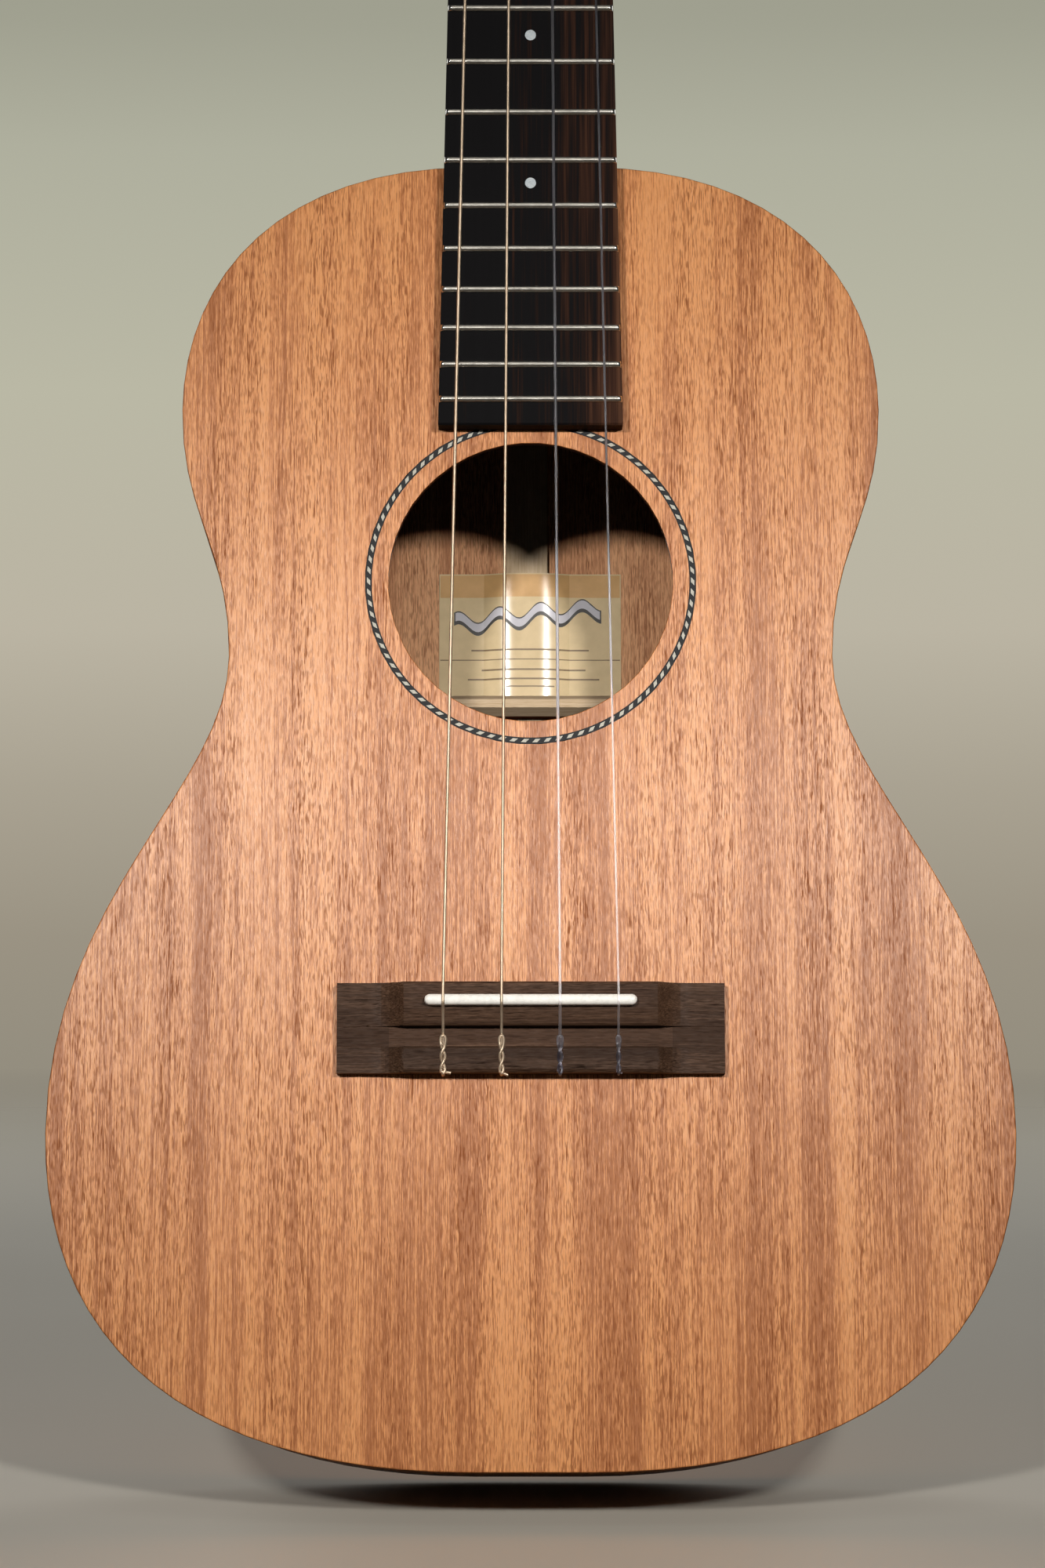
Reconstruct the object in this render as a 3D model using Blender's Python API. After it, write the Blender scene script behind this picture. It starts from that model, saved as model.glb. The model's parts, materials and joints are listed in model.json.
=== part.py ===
"""Baritone ukulele as an assembly of separate pieces.

World frame, in metres: +X towards the treble side, -Y out of the soundboard, +Z up the neck.
The origin is on the back's outer face, straight behind the line where the strings cross the saddle.
Every length below is in millimetres, and each function scales to metres as it makes its mesh.
A height is measured out of the soundboard's face, so a point at height h has y = -(BODY_DEPTH + h).
"""

import math

import bmesh
import bpy
from mathutils import Matrix, Vector

MM = 0.001

# Scale and strings
SCALE_LENGTH = 518.0
COMPENSATION = 1.5  # the saddle stands this far behind the true scale
FRET_COUNT = 20
BODY_JOIN_FRET = 14
NUT_Z = SCALE_LENGTH + COMPENSATION
STRING_NAMES = ("string_4_d", "string_3_g", "string_2_b", "string_1_e")
STRING_RADII = (0.44, 0.40, 0.40, 0.32)
SADDLE_SPREAD = 46.5  # from the first string's centre to the last
NUT_SPREAD = 27.0
STRING_GAP = 0.06  # between a string and what it rests on

# Body shell
BODY_DEPTH = 82.0
PLATE = 2.2
RIB = 2.0
GLUE = 0.05  # glue line between flat faces
TAIL_Z, TAIL_FLAT = -123.7, 15.7
LOWER_BOUT_Z, LOWER_BOUT = -34.5, 129.0
WAIST_Z, WAIST = 94.7, 81.7
UPPER_BOUT_Z, UPPER_BOUT = 163.2, 95.2
NECK_FLAT = 16.5
NECK_JOIN_Z = COMPENSATION + SCALE_LENGTH * 2 ** (-BODY_JOIN_FRET / 12)
# Lengths of the outline's curve handles, below and above each bout and the waist
TAIL_HANDLE, NECK_HANDLE = 71.6, 51.3
LOWER_BOUT_HANDLES = (57.8, 64.2)
WAIST_HANDLES = (36.1, 30.2)
UPPER_BOUT_HANDLES = (29.8, 38.9)

# Sound hole and rosette
HOLE_Z, HOLE_RADIUS = 115.3, 38.6
ROSETTE_INNER, ROSETTE_OUTER, ROSETTE_DEEP = 43.2, 45.0, 1.2
HOLE_SIDES = 48

# Blocks, linings and braces
BLOCK_HALF = 28.0
NECK_BLOCK_LENGTH, TAIL_BLOCK_LENGTH = 34.0, 13.0
CENTRE_STRIP_X = -1.0  # the strip lies a little to the bass side of the back's joint
CENTRE_STRIP_WIDE, CENTRE_STRIP_THICK, CENTRE_STRIP_ROOM = 12.0, 1.8, 0.5
LINING_ROOM = 4.6  # between a lining's end and the block beside it
# A lining's section as (depth in from the rib, distance down from the plate)
LINING_PROFILE = ((0.0, 0.0), (5.0, 0.0), (2.4, 11.0), (0.0, 11.0))
BRACE_END_TALL, BRACE_TAPER = 1.6, 22.0
# A brace's section as shares of its width and height
BRACE_SECTION = ((-0.5, 0.0), (0.5, 0.0), (0.5, 0.55), (0.2, 1.0), (-0.2, 1.0), (-0.5, 0.55))
# Each brace as (name, (middle x, middle z), length, width, height, lean in degrees from the X axis)
TOP_BRACES = (
    ("upper_transverse_brace", (0.0, 172.0), 168.0, 8.0, 14.0, 0.0),
    ("fan_brace_bass", (-34.0, -16.0), 150.0, 6.0, 6.5, 82.0),
    ("fan_brace_treble", (34.0, -16.0), 150.0, 6.0, 6.5, 98.0),
)
BACK_BRACES = (
    ("back_brace_waist", (0.0, 95.0), 148.0, 6.0, 10.0, 0.0),
    ("back_brace_lower", (0.0, -26.0), 238.0, 6.0, 10.0, 0.0),
)
NOTCH_ROOM, NOTCH_HALF = 0.1, 9.0  # the gap round the centre strip where a brace crosses it

# Fretboard and frets
BOARD_END_Z = 157.5
BOARD_THICK = 6.0
BOARD_NUT_HALF, BOARD_END_HALF = 18.2, 25.15
SLOT_HALF, SLOT_DEEP = 0.3, 1.6
TANG_HALF, TANG_DEEP = 0.24, 1.5
FRET_HALF, FRET_TALL, FRET_BEVEL = 0.95, 1.0, 0.7
FRET_INSET = 0.15  # from the board's edge to the end of the wire
BOARD_CHAMFER = 0.5

# Nut, saddle and bridge
NUT_LONG, NUT_FRONT, NUT_BACK = 4.8, 8.3, 6.6
NUT_STRING_H = 7.4
NUT_CHAMFER, NUT_FLAT = 0.5, 2.2
NUT_SLOT_ROOM = 0.1
NUT_BREAK = 1.2  # how far past the nut's front the string starts to turn towards its post
SADDLE_CREST, SADDLE_HALF_LONG, SADDLE_HALF_THICK, SADDLE_FOOT = 10.5, 28.2, 1.45, 3.6
SLOT_ROOM = 0.1
BRIDGE_HALF, BRIDGE_BLOCK_HALF, BRIDGE_RAMP = 51.6, 33.7, 10.0
WING_H, CHANNEL_H, TIE_BLOCK_H = 3.4, 3.0, 6.6
BRIDGE_EDGE_Z = -19.0
# The bridge's section at mid-length, from its upper edge round to its lower one, as (z, height)
BRIDGE_SECTION = (
    (5.1, GLUE), (5.1, 7.0), (4.5, 7.6), (-2.4, 7.6), (-6.0, 6.3), (-6.5, 5.8),
    (-6.6, CHANNEL_H), (-11.9, CHANNEL_H), (-12.1, 6.1), (-12.6, TIE_BLOCK_H), (-18.2, TIE_BLOCK_H),
    (BRIDGE_EDGE_Z, 5.9), (BRIDGE_EDGE_Z, GLUE),
)
TUNNEL_H, TUNNEL_RADIUS, TUNNEL_Z = 4.5, 0.8, -15.5

# Neck and headstock
NECK_THICK_NUT, NECK_THICK_HEEL = 14.0, 16.5  # wood only, without the fretboard
HEEL_DEEP = BODY_DEPTH - 1.5
HEEL_CURVE_Z, HEEL_FACE_Z = 290.0, 250.0
HEEL_CAP_SHARE = 0.42  # heel width at its cap as a share of its width at the fretboard
HEAD_ANGLE = math.radians(14.0)
HEAD_THICK = 14.0
HEAD_Z = NUT_Z + NUT_LONG + 0.2
SHAFT_STATIONS = (340.0, 400.0, 460.0, NUT_Z - 4.0)  # between the heel and the nut
HEAD_SQUARE_LENGTH = 22.0  # over which the neck's round back turns into the headstock's square edges
# Half-widths of the headstock at distances along it
HEAD_OUTLINE = (
    (3.0, 18.5), (8.0, 20.4), (14.0, 24.0), (20.0, 26.8), (28.0, 28.0), (60.0, 28.6), (98.0, 29.4),
    (112.0, 29.5), (117.5, 28.8), (121.0, 26.6), (123.2, 22.5), (124.2, 16.0),
)

# Tuning machines: u runs out to the button, n back from the headstock and w up along it
POST_X, POST_ROWS = 16.5, (38.0, 82.0)
POST_RADIUS, BARREL_RADIUS = 3.0, 2.5
POST_HOLE, PLATE_HOLE = 3.4, 3.3
STRING_HOLE_RADIUS, STRING_HOLE_N = 0.8, -8.6  # n is counted from the headstock's front
COIL_START, COIL_TURNS, COIL_STEPS, COIL_GAP = 5.2, 2.25, 12, 0.12
# The post's profile as (radius, n): gear end, shank through the headstock, barrel and rounded tip
POST_PROFILE = (
    (0.0, 7.4), (2.0, 7.4), (2.3, 7.0), (2.3, 2.4), (POST_RADIUS, 2.0), (POST_RADIUS, -17.2),
    (BARREL_RADIUS, -18.2), (BARREL_RADIUS, -23.6), (POST_RADIUS, -24.6), (POST_RADIUS, -26.4),
    (2.2, -27.2), (0.0, -27.4),
)
TEETH = 14
WORM_PITCH_RADIUS, GEAR_PITCH_RADIUS = 2.4, 5.25
CENTRES = WORM_PITCH_RADIUS + GEAR_PITCH_RADIUS
TOOTH_PITCH = 2 * math.pi * GEAR_PITCH_RADIUS / TEETH
FLANK = math.tan(math.radians(20.0))
GEAR_TIP, GEAR_ROOT, GEAR_TOOTH = 5.95, 4.4, 0.44  # the last is a share of the pitch
WORM_CREST, WORM_ROOT, WORM_THREAD = 3.05, 1.5, 0.42
WORM_TURNS = 3
WORM_SIDES = 16
GEAR_HALF_THICK = 1.5
MESH_N = 4.65  # height of the worm's axis and the gear's middle above the headstock's back
TUNER_PLATE = 1.2
PLATE_LOW, PLATE_HIGH, PLATE_CORNER = (-8.6, -8.6), (8.9, 13.0), 3.0  # (u, w) of opposite corners
LUG_NEAR, LUG_FAR, LUG_RADIUS, LUG_BORE, LUG_ROOT = 6.0, 7.4, 3.2, 1.64, 0.6
SHAFT_INNER_END, SHAFT_OUTER_END = -8.0, 24.2
BUTTON_START, BUTTON_BORE_DEEP, BUTTON_BORE = 17.5, 7.0, 1.58

# The button's section down its length, as (distance, half-width, half-thickness)
BUTTON_STATIONS = (
    (0.0, 2.7, 2.7), (1.8, 2.7, 2.7), (3.0, 4.2, 3.0), (5.0, 6.4, 3.3), (8.0, 7.6, 3.4),
    (11.5, 7.4, 3.3), (14.0, 5.8, 2.8), (15.3, 3.6, 1.9), (15.8, 1.4, 0.8),
)

COLOURS = {  # linear colour, roughness, metallic
    "mahogany": ((0.48, 0.215, 0.095), 0.5, 0.0),
    "mahogany_neck": ((0.30, 0.13, 0.06), 0.5, 0.0),
    "spruce": ((0.62, 0.46, 0.27), 0.7, 0.0),
    "rosewood": ((0.045, 0.028, 0.02), 0.55, 0.0),
    "ebony": ((0.018, 0.016, 0.017), 0.5, 0.0),
    "bone": ((0.86, 0.82, 0.70), 0.35, 0.0),
    "purfling": ((0.10, 0.11, 0.12), 0.5, 0.0),
    "nickel": ((0.62, 0.60, 0.55), 0.25, 1.0),
    "brass": ((0.60, 0.44, 0.18), 0.35, 1.0),
    "steel": ((0.55, 0.55, 0.55), 0.3, 1.0),
    "wound_string": ((0.55, 0.50, 0.42), 0.35, 1.0),
    "nylon": ((0.70, 0.68, 0.66), 0.2, 0.0),
    "button_plastic": ((0.02, 0.02, 0.02), 0.3, 0.0),
}


# ---------------------------------------------------------------- scene and mesh helpers


def clear_scene():
    for obj in list(bpy.data.objects):
        bpy.data.objects.remove(obj)


def material(name):
    found = bpy.data.materials.get(name)
    if found:
        return found
    colour, roughness, metallic = COLOURS[name]
    made = bpy.data.materials.new(name)
    made.use_nodes = True
    shader = made.node_tree.nodes["Principled BSDF"]
    shader.inputs["Base Color"].default_value = (*colour, 1.0)
    shader.inputs["Roughness"].default_value = roughness
    shader.inputs["Metallic"].default_value = metallic
    made.diffuse_color = (*colour, 1.0)
    return made


def new_mesh(name, points, faces):
    """A mesh from points in millimetres, with its faces turned outwards and round parts shaded smooth."""
    mesh = bpy.data.meshes.new(name)
    mesh.from_pydata([Vector(p) * MM for p in points], [], faces)
    shape = bmesh.new()
    shape.from_mesh(mesh)
    bmesh.ops.recalc_face_normals(shape, faces=shape.faces)
    if shape.calc_volume(signed=True) < 0:
        bmesh.ops.reverse_faces(shape, faces=shape.faces)
    shape.to_mesh(mesh)
    shape.free()
    mesh.shade_smooth()
    mesh.set_sharp_from_angle(angle=math.radians(35))
    return mesh


def add(name, mesh, finish, parent=None, location=(0, 0, 0)):
    """An object holding the mesh, at a location in millimetres in its parent's frame."""
    obj = bpy.data.objects.new(name, mesh)
    bpy.context.scene.collection.objects.link(obj)
    obj.parent = parent
    obj.location = Vector(location) * MM
    if not mesh.materials:
        mesh.materials.append(material(finish))
    return obj


def empty(name, parent=None, location=(0, 0, 0), rotation=(0, 0, 0)):
    obj = bpy.data.objects.new(name, None)
    bpy.context.scene.collection.objects.link(obj)
    obj.parent = parent
    obj.location = Vector(location) * MM
    obj.rotation_euler = rotation
    obj.empty_display_size = 10 * MM
    return obj


def cut(target, cutter):
    """Takes the cutter's shape out of the target with a Boolean, and hides the cutter."""
    combine(target, cutter, "DIFFERENCE")


def combine(target, other, operation):
    step = target.modifiers.new(operation.lower(), "BOOLEAN")
    step.operation = operation
    step.solver = "EXACT"
    step.object = other
    other.hide_render = True
    other.display_type = "WIRE"


def loft(name, rings):
    """A closed solid through rings of equal length, with a flat face over each end."""
    count = len(rings[0])
    points = [p for ring in rings for p in ring]
    faces = [list(range(count)), [len(points) - count + i for i in range(count)]]
    for k in range(len(rings) - 1):
        for i in range(count):
            j = (i + 1) % count
            faces.append([k * count + i, k * count + j, (k + 1) * count + j, (k + 1) * count + i])
    return new_mesh(name, points, faces)


def plate(name, outline, y0, y1):
    """A flat plate from an outline of (x, z) points, between two y values."""
    return loft(name, [[(x, y, z) for x, z in outline] for y in (y0, y1)])


def band(name, outer, inner, y0, y1):
    """A thin wall between two matching open lines of (x, z) points."""
    rings = []
    for (xo, zo), (xi, zi) in zip(outer, inner):
        rings.append([(xo, y0, zo), (xo, y1, zo), (xi, y1, zi), (xi, y0, zi)])
    return loft(name, rings)


def circle(radius, sides, centre=(0.0, 0.0)):
    cx, cy = centre
    turns = [2 * math.pi * (i + 0.5) / sides for i in range(sides)]
    return [(cx + radius * math.cos(a), cy + radius * math.sin(a)) for a in turns]


def lathe(name, profile, sides, axis="y"):
    """A solid of revolution from (radius, distance) pairs. The first and last radii may be 0."""
    points, rings = [], []
    for radius, along in profile:
        ring = circle(radius, sides) if radius > 0 else [(0.0, 0.0)]
        rings.append([len(points) + i for i in range(len(ring))])
        for a, b in ring:
            points.append((a, along, b) if axis == "y" else (along, a, b))
    faces = []
    for lower, upper in zip(rings, rings[1:]):
        for i in range(sides):
            j = (i + 1) % sides
            below = [lower[i % len(lower)], lower[j % len(lower)]]
            above = [upper[j % len(upper)], upper[i % len(upper)]]
            faces.append(list(dict.fromkeys(below + above)))
    for ring in (rings[0], rings[-1]):
        if len(ring) > 1:
            faces.append(ring)
    return new_mesh(name, points, faces)


def annulus(name, inner, outer, y0, y1):
    """A flat ring round the sound hole's centre."""
    sides = HOLE_SIDES
    rings = []
    for radius, y in ((outer, y0), (outer, y1), (inner, y1), (inner, y0)):
        rings.append([(x, y, z) for x, z in circle(radius, sides, (0.0, HOLE_Z))])
    points = [p for ring in rings for p in ring]
    faces = []
    for k in range(4):
        for i in range(sides):
            j = (i + 1) % sides
            n = (k + 1) % 4
            faces.append([k * sides + i, k * sides + j, n * sides + j, n * sides + i])
    return new_mesh(name, points, faces)


def box_mesh(name, low, high):
    (x0, y0, z0), (x1, y1, z1) = low, high
    ring = [(x0, z0), (x1, z0), (x1, z1), (x0, z1)]
    return plate(name, ring, y0, y1)


def bezier(p0, p1, p2, p3, steps):
    """Points and unit normals to the right of travel along a cubic, leaving out its last point."""
    a, b, c, d = (Vector(p) for p in (p0, p1, p2, p3))
    found = []
    for i in range(steps):
        t = i / steps
        s = 1 - t
        point = s**3 * a + 3 * s * s * t * b + 3 * s * t * t * c + t**3 * d
        run = (s * s * (b - a) + 2 * s * t * (c - b) + t * t * (d - c)).normalized()
        found.append((point, Vector((run.y, -run.x))))
    return found


def half_outline(inset=0.0, start_x=0.0):
    """The treble half of the body's outline, from the tail's middle to the neck's, moved in by inset."""
    tail, lower = Vector((TAIL_FLAT, TAIL_Z)), Vector((LOWER_BOUT, LOWER_BOUT_Z))
    waist, upper = Vector((WAIST, WAIST_Z)), Vector((UPPER_BOUT, UPPER_BOUT_Z))
    neck = Vector((NECK_FLAT, NECK_JOIN_Z))
    spans = (
        (tail, (TAIL_HANDLE, 0), (0, -LOWER_BOUT_HANDLES[0]), lower, 22),
        (lower, (0, LOWER_BOUT_HANDLES[1]), (0, -WAIST_HANDLES[0]), waist, 16),
        (waist, (0, WAIST_HANDLES[1]), (0, -UPPER_BOUT_HANDLES[0]), upper, 9),
        (upper, (0, UPPER_BOUT_HANDLES[1]), (NECK_HANDLE, 0), neck, 16),
    )
    down, up = Vector((0, -1)), Vector((0, 1))
    line = [(Vector((start_x, TAIL_Z)), down)]
    for start, leave, reach, end, steps in spans:
        line += bezier(start, start + Vector(leave), end + Vector(reach), end, steps)
    line += [(neck, up), (Vector((start_x, NECK_JOIN_Z)), up)]
    return [tuple(point - normal * inset) for point, normal in line]


def mirrored(points):
    return [(-x, z) for x, z in points]


def board_half(z):
    """Half of the fretboard's width at z."""
    share = (NUT_Z - z) / (NUT_Z - BOARD_END_Z)
    return BOARD_NUT_HALF + share * (BOARD_END_HALF - BOARD_NUT_HALF)


def fret_z(number):
    return COMPENSATION + SCALE_LENGTH * 2 ** (-number / 12)


def face_y(height):
    return -(BODY_DEPTH + height)


def string_x(index, z):
    """Where a string runs over the board, from the bass side to the treble."""
    spread = SADDLE_SPREAD + (NUT_SPREAD - SADDLE_SPREAD) * z / NUT_Z
    return spread * (index / 3 - 0.5)


# ---------------------------------------------------------------- body


def make_soundboard():
    treble = half_outline()
    outline = treble + mirrored(treble)[-2:0:-1]
    top = add("soundboard", plate("soundboard", outline, face_y(0), face_y(-PLATE)), "mahogany")
    rim = circle(HOLE_RADIUS, HOLE_SIDES, (0.0, HOLE_Z))
    hole = plate("sound_hole_cutter", rim, face_y(5), face_y(-PLATE - 5))
    cut(top, add("sound_hole_cutter", hole, "mahogany"))
    groove = annulus("rosette_cutter", ROSETTE_INNER, ROSETTE_OUTER, face_y(3), face_y(-ROSETTE_DEEP))
    cut(top, add("rosette_cutter", groove, "mahogany"))
    inner, outer = ROSETTE_INNER + GLUE, ROSETTE_OUTER - GLUE
    ring = annulus("rosette", inner, outer, face_y(0), face_y(GLUE - ROSETTE_DEEP))
    add("rosette", ring, "purfling")


def make_back():
    treble = half_outline()
    outline = treble + mirrored(treble)[-2:0:-1]
    add("back_plate", plate("back_plate", outline, -PLATE, 0.0), "mahogany")


def make_ribs():
    outer, inner = half_outline(start_x=GLUE), half_outline(RIB, start_x=GLUE)
    y0, y1 = face_y(-PLATE - GLUE), -PLATE - GLUE
    add("rib_treble", band("rib_treble", outer, inner, y0, y1), "mahogany")
    add("rib_bass", band("rib_bass", mirrored(outer), mirrored(inner), y0, y1), "mahogany")


def make_blocks():
    """Solid blocks behind the neck joint and the tail seam, each following the ribs' inner face."""
    inner = half_outline(RIB + GLUE)
    y0, y1 = face_y(-PLATE - GLUE), -PLATE - GLUE
    near_neck = [p for p in inner if p[1] > WAIST_Z and p[0] <= BLOCK_HALF]
    low = NECK_JOIN_Z - RIB - NECK_BLOCK_LENGTH
    right = [(near_neck[0][0], low)] + near_neck
    add("neck_block", plate("neck_block", right + mirrored(right)[-2::-1], y0, y1), "mahogany_neck")
    near_tail = [p for p in inner if p[1] < LOWER_BOUT_Z and p[0] <= BLOCK_HALF]
    high = TAIL_Z + RIB + TAIL_BLOCK_LENGTH
    right = near_tail + [(near_tail[-1][0], high)]
    add("tail_block", plate("tail_block", right + mirrored(right)[:0:-1], y0, y1), "mahogany_neck")


def make_linings():
    """The strips that widen the glue joint between ribs and soundboard, from block to block."""
    lines = {deep: half_outline(RIB + GLUE + deep) for deep, _ in LINING_PROFILE}
    clear = [i for i, (x, _) in enumerate(lines[0.0]) if x > BLOCK_HALF + LINING_ROOM]
    keep = clear[2:-2]  # so that the linings' inner edges are clear of the blocks too
    rings = []
    for i in keep:
        ring = []
        for deep, tall in LINING_PROFILE:
            x, z = lines[deep][i]
            ring.append((x, face_y(-PLATE - GLUE - tall), z))
        rings.append(ring)
    add("lining_top_treble", loft("lining_top_treble", rings), "spruce")
    flipped = [[(-x, y, z) for x, y, z in ring] for ring in rings]
    add("lining_top_bass", loft("lining_top_bass", flipped), "spruce")


def brace(name, middle, length, wide, tall, lean, base_y, inward):
    """A brace with a rounded crest and thinned ends, standing on base_y. inward is 1 or -1 along Y."""
    taper = min(BRACE_TAPER, length / 4)
    angle = math.radians(lean)
    run = Vector((math.cos(angle), math.sin(angle)))
    across = Vector((-run.y, run.x))
    half, low = length / 2, BRACE_END_TALL
    rings = []
    for along, height in ((-half, low), (taper - half, tall), (half - taper, tall), (half, low)):
        centre = Vector(middle) + run * along
        ring = []
        for side, up in BRACE_SECTION:
            x, z = centre + across * side * wide
            ring.append((x, base_y + inward * height * up, z))
        rings.append(ring)
    return add(name, loft(name, rings), "spruce")


def make_braces():
    for name, middle, length, wide, tall, lean in TOP_BRACES:
        brace(name, middle, length, wide, tall, lean, face_y(-PLATE - GLUE), 1)
    over_back = -PLATE - GLUE
    low = TAIL_Z + RIB + TAIL_BLOCK_LENGTH + CENTRE_STRIP_ROOM
    high = NECK_JOIN_Z - RIB - NECK_BLOCK_LENGTH - CENTRE_STRIP_ROOM
    left, right = CENTRE_STRIP_X - CENTRE_STRIP_WIDE / 2, CENTRE_STRIP_X + CENTRE_STRIP_WIDE / 2
    strip_y = over_back - CENTRE_STRIP_THICK
    strip = box_mesh("back_centre_strip", (left, strip_y, low), (right, over_back, high))
    add("back_centre_strip", strip, "spruce")
    for name, middle, length, wide, tall, lean in BACK_BRACES:
        made = brace(name, middle, length, wide, tall, lean, over_back, -1)
        low_corner = (left - NOTCH_ROOM, strip_y - NOTCH_ROOM, middle[1] - NOTCH_HALF)
        high_corner = (right + NOTCH_ROOM, BODY_DEPTH / 2, middle[1] + NOTCH_HALF)
        cut(made, add(name + "_notch", box_mesh(name + "_notch", low_corner, high_corner), "spruce"))


# ---------------------------------------------------------------- neck, fretboard and nut


def neck_section(half, thick, share_box, share_heel):
    """The neck's section as (x, depth): flat in front, and a D, a tapering heel or a box behind."""
    steps = 8
    flat = 0.02
    right = []
    for j in range(steps + 1):
        deep = math.sin(math.pi * j / (2 * steps))
        rounded = math.sqrt(max(0.0, 1 - deep * deep)) * (1 - flat) + flat
        heel = 1 - (1 - HEEL_CAP_SHARE) * deep**0.9
        wide = rounded + share_heel * (heel - rounded) + share_box * (1 - rounded)
        right.append((half * wide, thick * deep))
    return right + mirrored(right[::-1])


def heel_depth(z):
    """How deep the neck is at z: constant along the shaft, then a quarter ellipse into the heel."""
    if z <= HEEL_FACE_Z:
        return HEEL_DEEP
    share = (HEEL_CURVE_Z - z) / (HEEL_CURVE_Z - HEEL_FACE_Z)
    return HEEL_DEEP - (HEEL_DEEP - NECK_THICK_HEEL) * math.sqrt(max(0.0, 1 - share * share))


def level(section, z):
    """A neck section laid square to the fretboard at z."""
    return [(x, deep - BODY_DEPTH, z) for x, deep in section]


def turned(section, frame, along):
    """A neck section laid across a frame's z axis."""
    return [tuple(frame @ (Vector((x, deep, along)) * MM) / MM) for x, deep in section]


def make_neck(head):
    rings = []
    fall = HEEL_CURVE_Z - HEEL_FACE_Z
    curve = [HEEL_CURVE_Z - fall * math.cos(math.radians(a)) for a in range(10, 90, 10)]
    for z in [NECK_JOIN_Z + GLUE, HEEL_FACE_Z] + curve + [HEEL_CURVE_Z]:
        thick = heel_depth(z)
        heel = (thick - NECK_THICK_HEEL) / (HEEL_DEEP - NECK_THICK_HEEL)
        rings.append(level(neck_section(board_half(z), thick, 0.0, heel), z))
    for z in SHAFT_STATIONS:
        share = (z - HEEL_CURVE_Z) / (NUT_Z - HEEL_CURVE_Z)
        thick = NECK_THICK_HEEL + share * (NECK_THICK_NUT - NECK_THICK_HEEL)
        rings.append(level(neck_section(board_half(z), thick, 0.0, 0.0), z))
    bend = Matrix.Translation(head.location) @ Matrix.Rotation(-HEAD_ANGLE / 2, 4, "X")
    rings.append(turned(neck_section(BOARD_NUT_HALF, NECK_THICK_NUT, 0.15, 0.0), bend, 0.0))
    for along, half in HEAD_OUTLINE:
        box = min(1.0, 0.25 + along / HEAD_SQUARE_LENGTH)
        rings.append(turned(neck_section(half, HEAD_THICK, box, 0.0), head.matrix_basis, along))
    neck = add("neck", loft("neck", rings), "mahogany_neck")
    for side in (-1, 1):
        for row in POST_ROWS:
            drill = lathe("post_hole_cutter", ((POST_HOLE, -5.0), (POST_HOLE, HEAD_THICK + 5.0)), 24)
            name = f"post_hole_cutter_{side}_{int(row)}"
            cut(neck, add(name, drill, "nickel", head, (side * POST_X, 0, row)))


def make_fretboard():
    """A tapered board whose side profile holds the fret slots."""
    top = BOARD_THICK
    profile = [(BOARD_END_Z, GLUE), (BOARD_END_Z, top - BOARD_CHAMFER), (BOARD_END_Z + BOARD_CHAMFER, top)]
    for number in range(FRET_COUNT, 0, -1):
        z = fret_z(number)
        profile += [(z - SLOT_HALF, top), (z - SLOT_HALF, top - SLOT_DEEP)]
        profile += [(z + SLOT_HALF, top - SLOT_DEEP), (z + SLOT_HALF, top)]
    profile += [(NUT_Z, top), (NUT_Z, GLUE)]
    rings = [[(side * board_half(z), face_y(h), z) for z, h in profile] for side in (-1, 1)]
    add("fretboard", loft("fretboard", rings), "ebony")


def make_frets():
    """Crowned fret wire with its tang, cut to the board's width with bevelled ends."""
    turns = [math.pi * i / 6 for i in range(7)]
    crown = [(FRET_HALF * math.cos(a), FRET_TALL * math.sin(a)) for a in turns]
    tang = [(-TANG_HALF, 0.0), (-TANG_HALF, -TANG_DEEP), (TANG_HALF, -TANG_DEEP), (TANG_HALF, 0.0)]
    for number in range(1, FRET_COUNT + 1):
        z0 = fret_z(number)
        rings = []
        for side in (-1, 1):
            ring = []
            for dz, rise in crown + tang:
                half = board_half(z0 + dz) - FRET_INSET - FRET_BEVEL * max(rise, 0.0)
                ring.append((side * half, face_y(BOARD_THICK + GLUE + rise), z0 + dz))
            rings.append(ring)
        add(f"fret_{number:02d}", loft(f"fret_{number:02d}", rings), "nickel")


def make_nut(head):
    z0, z1 = NUT_Z + GLUE, NUT_Z + NUT_LONG
    profile = [(z0, GLUE), (z0, NUT_FRONT - NUT_CHAMFER), (z0 + NUT_CHAMFER, NUT_FRONT)]
    profile += [(z0 + NUT_FLAT, NUT_FRONT), (z1, NUT_BACK), (z1, GLUE)]
    rings = [[(side * BOARD_NUT_HALF, face_y(h), z) for z, h in profile] for side in (-1, 1)]
    nut = add("nut", loft("nut", rings), "bone")
    for index, radius in enumerate(STRING_RADII):
        x, wide = string_x(index, NUT_Z), radius + NUT_SLOT_ROOM
        floor = NUT_STRING_H - radius - STRING_GAP
        # Past its break point the string turns towards its post, and the slot follows it
        far_x, far_y, far_z = coil_path(index, radius, head)[0]
        share = (z1 + 2 - NUT_Z - NUT_BREAK) / (far_z - NUT_Z - NUT_BREAK)
        end_x = x + share * (far_x - x)
        end_floor = floor + share * (-BODY_DEPTH - far_y - NUT_STRING_H) - 0.2
        sections = []
        for cx, z, low in ((x, z0 - 2, floor), (x, NUT_Z + NUT_BREAK, floor), (end_x, z1 + 2, end_floor)):
            corners = ((-wide, low), (wide, low), (wide, NUT_FRONT + 3), (-wide, NUT_FRONT + 3))
            sections.append([(cx + dx, face_y(h), z) for dx, h in corners])
        cut(nut, add(f"nut_slot_cutter_{index}", loft(f"nut_slot_cutter_{index}", sections), "bone"))


# ---------------------------------------------------------------- bridge and saddle


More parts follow.
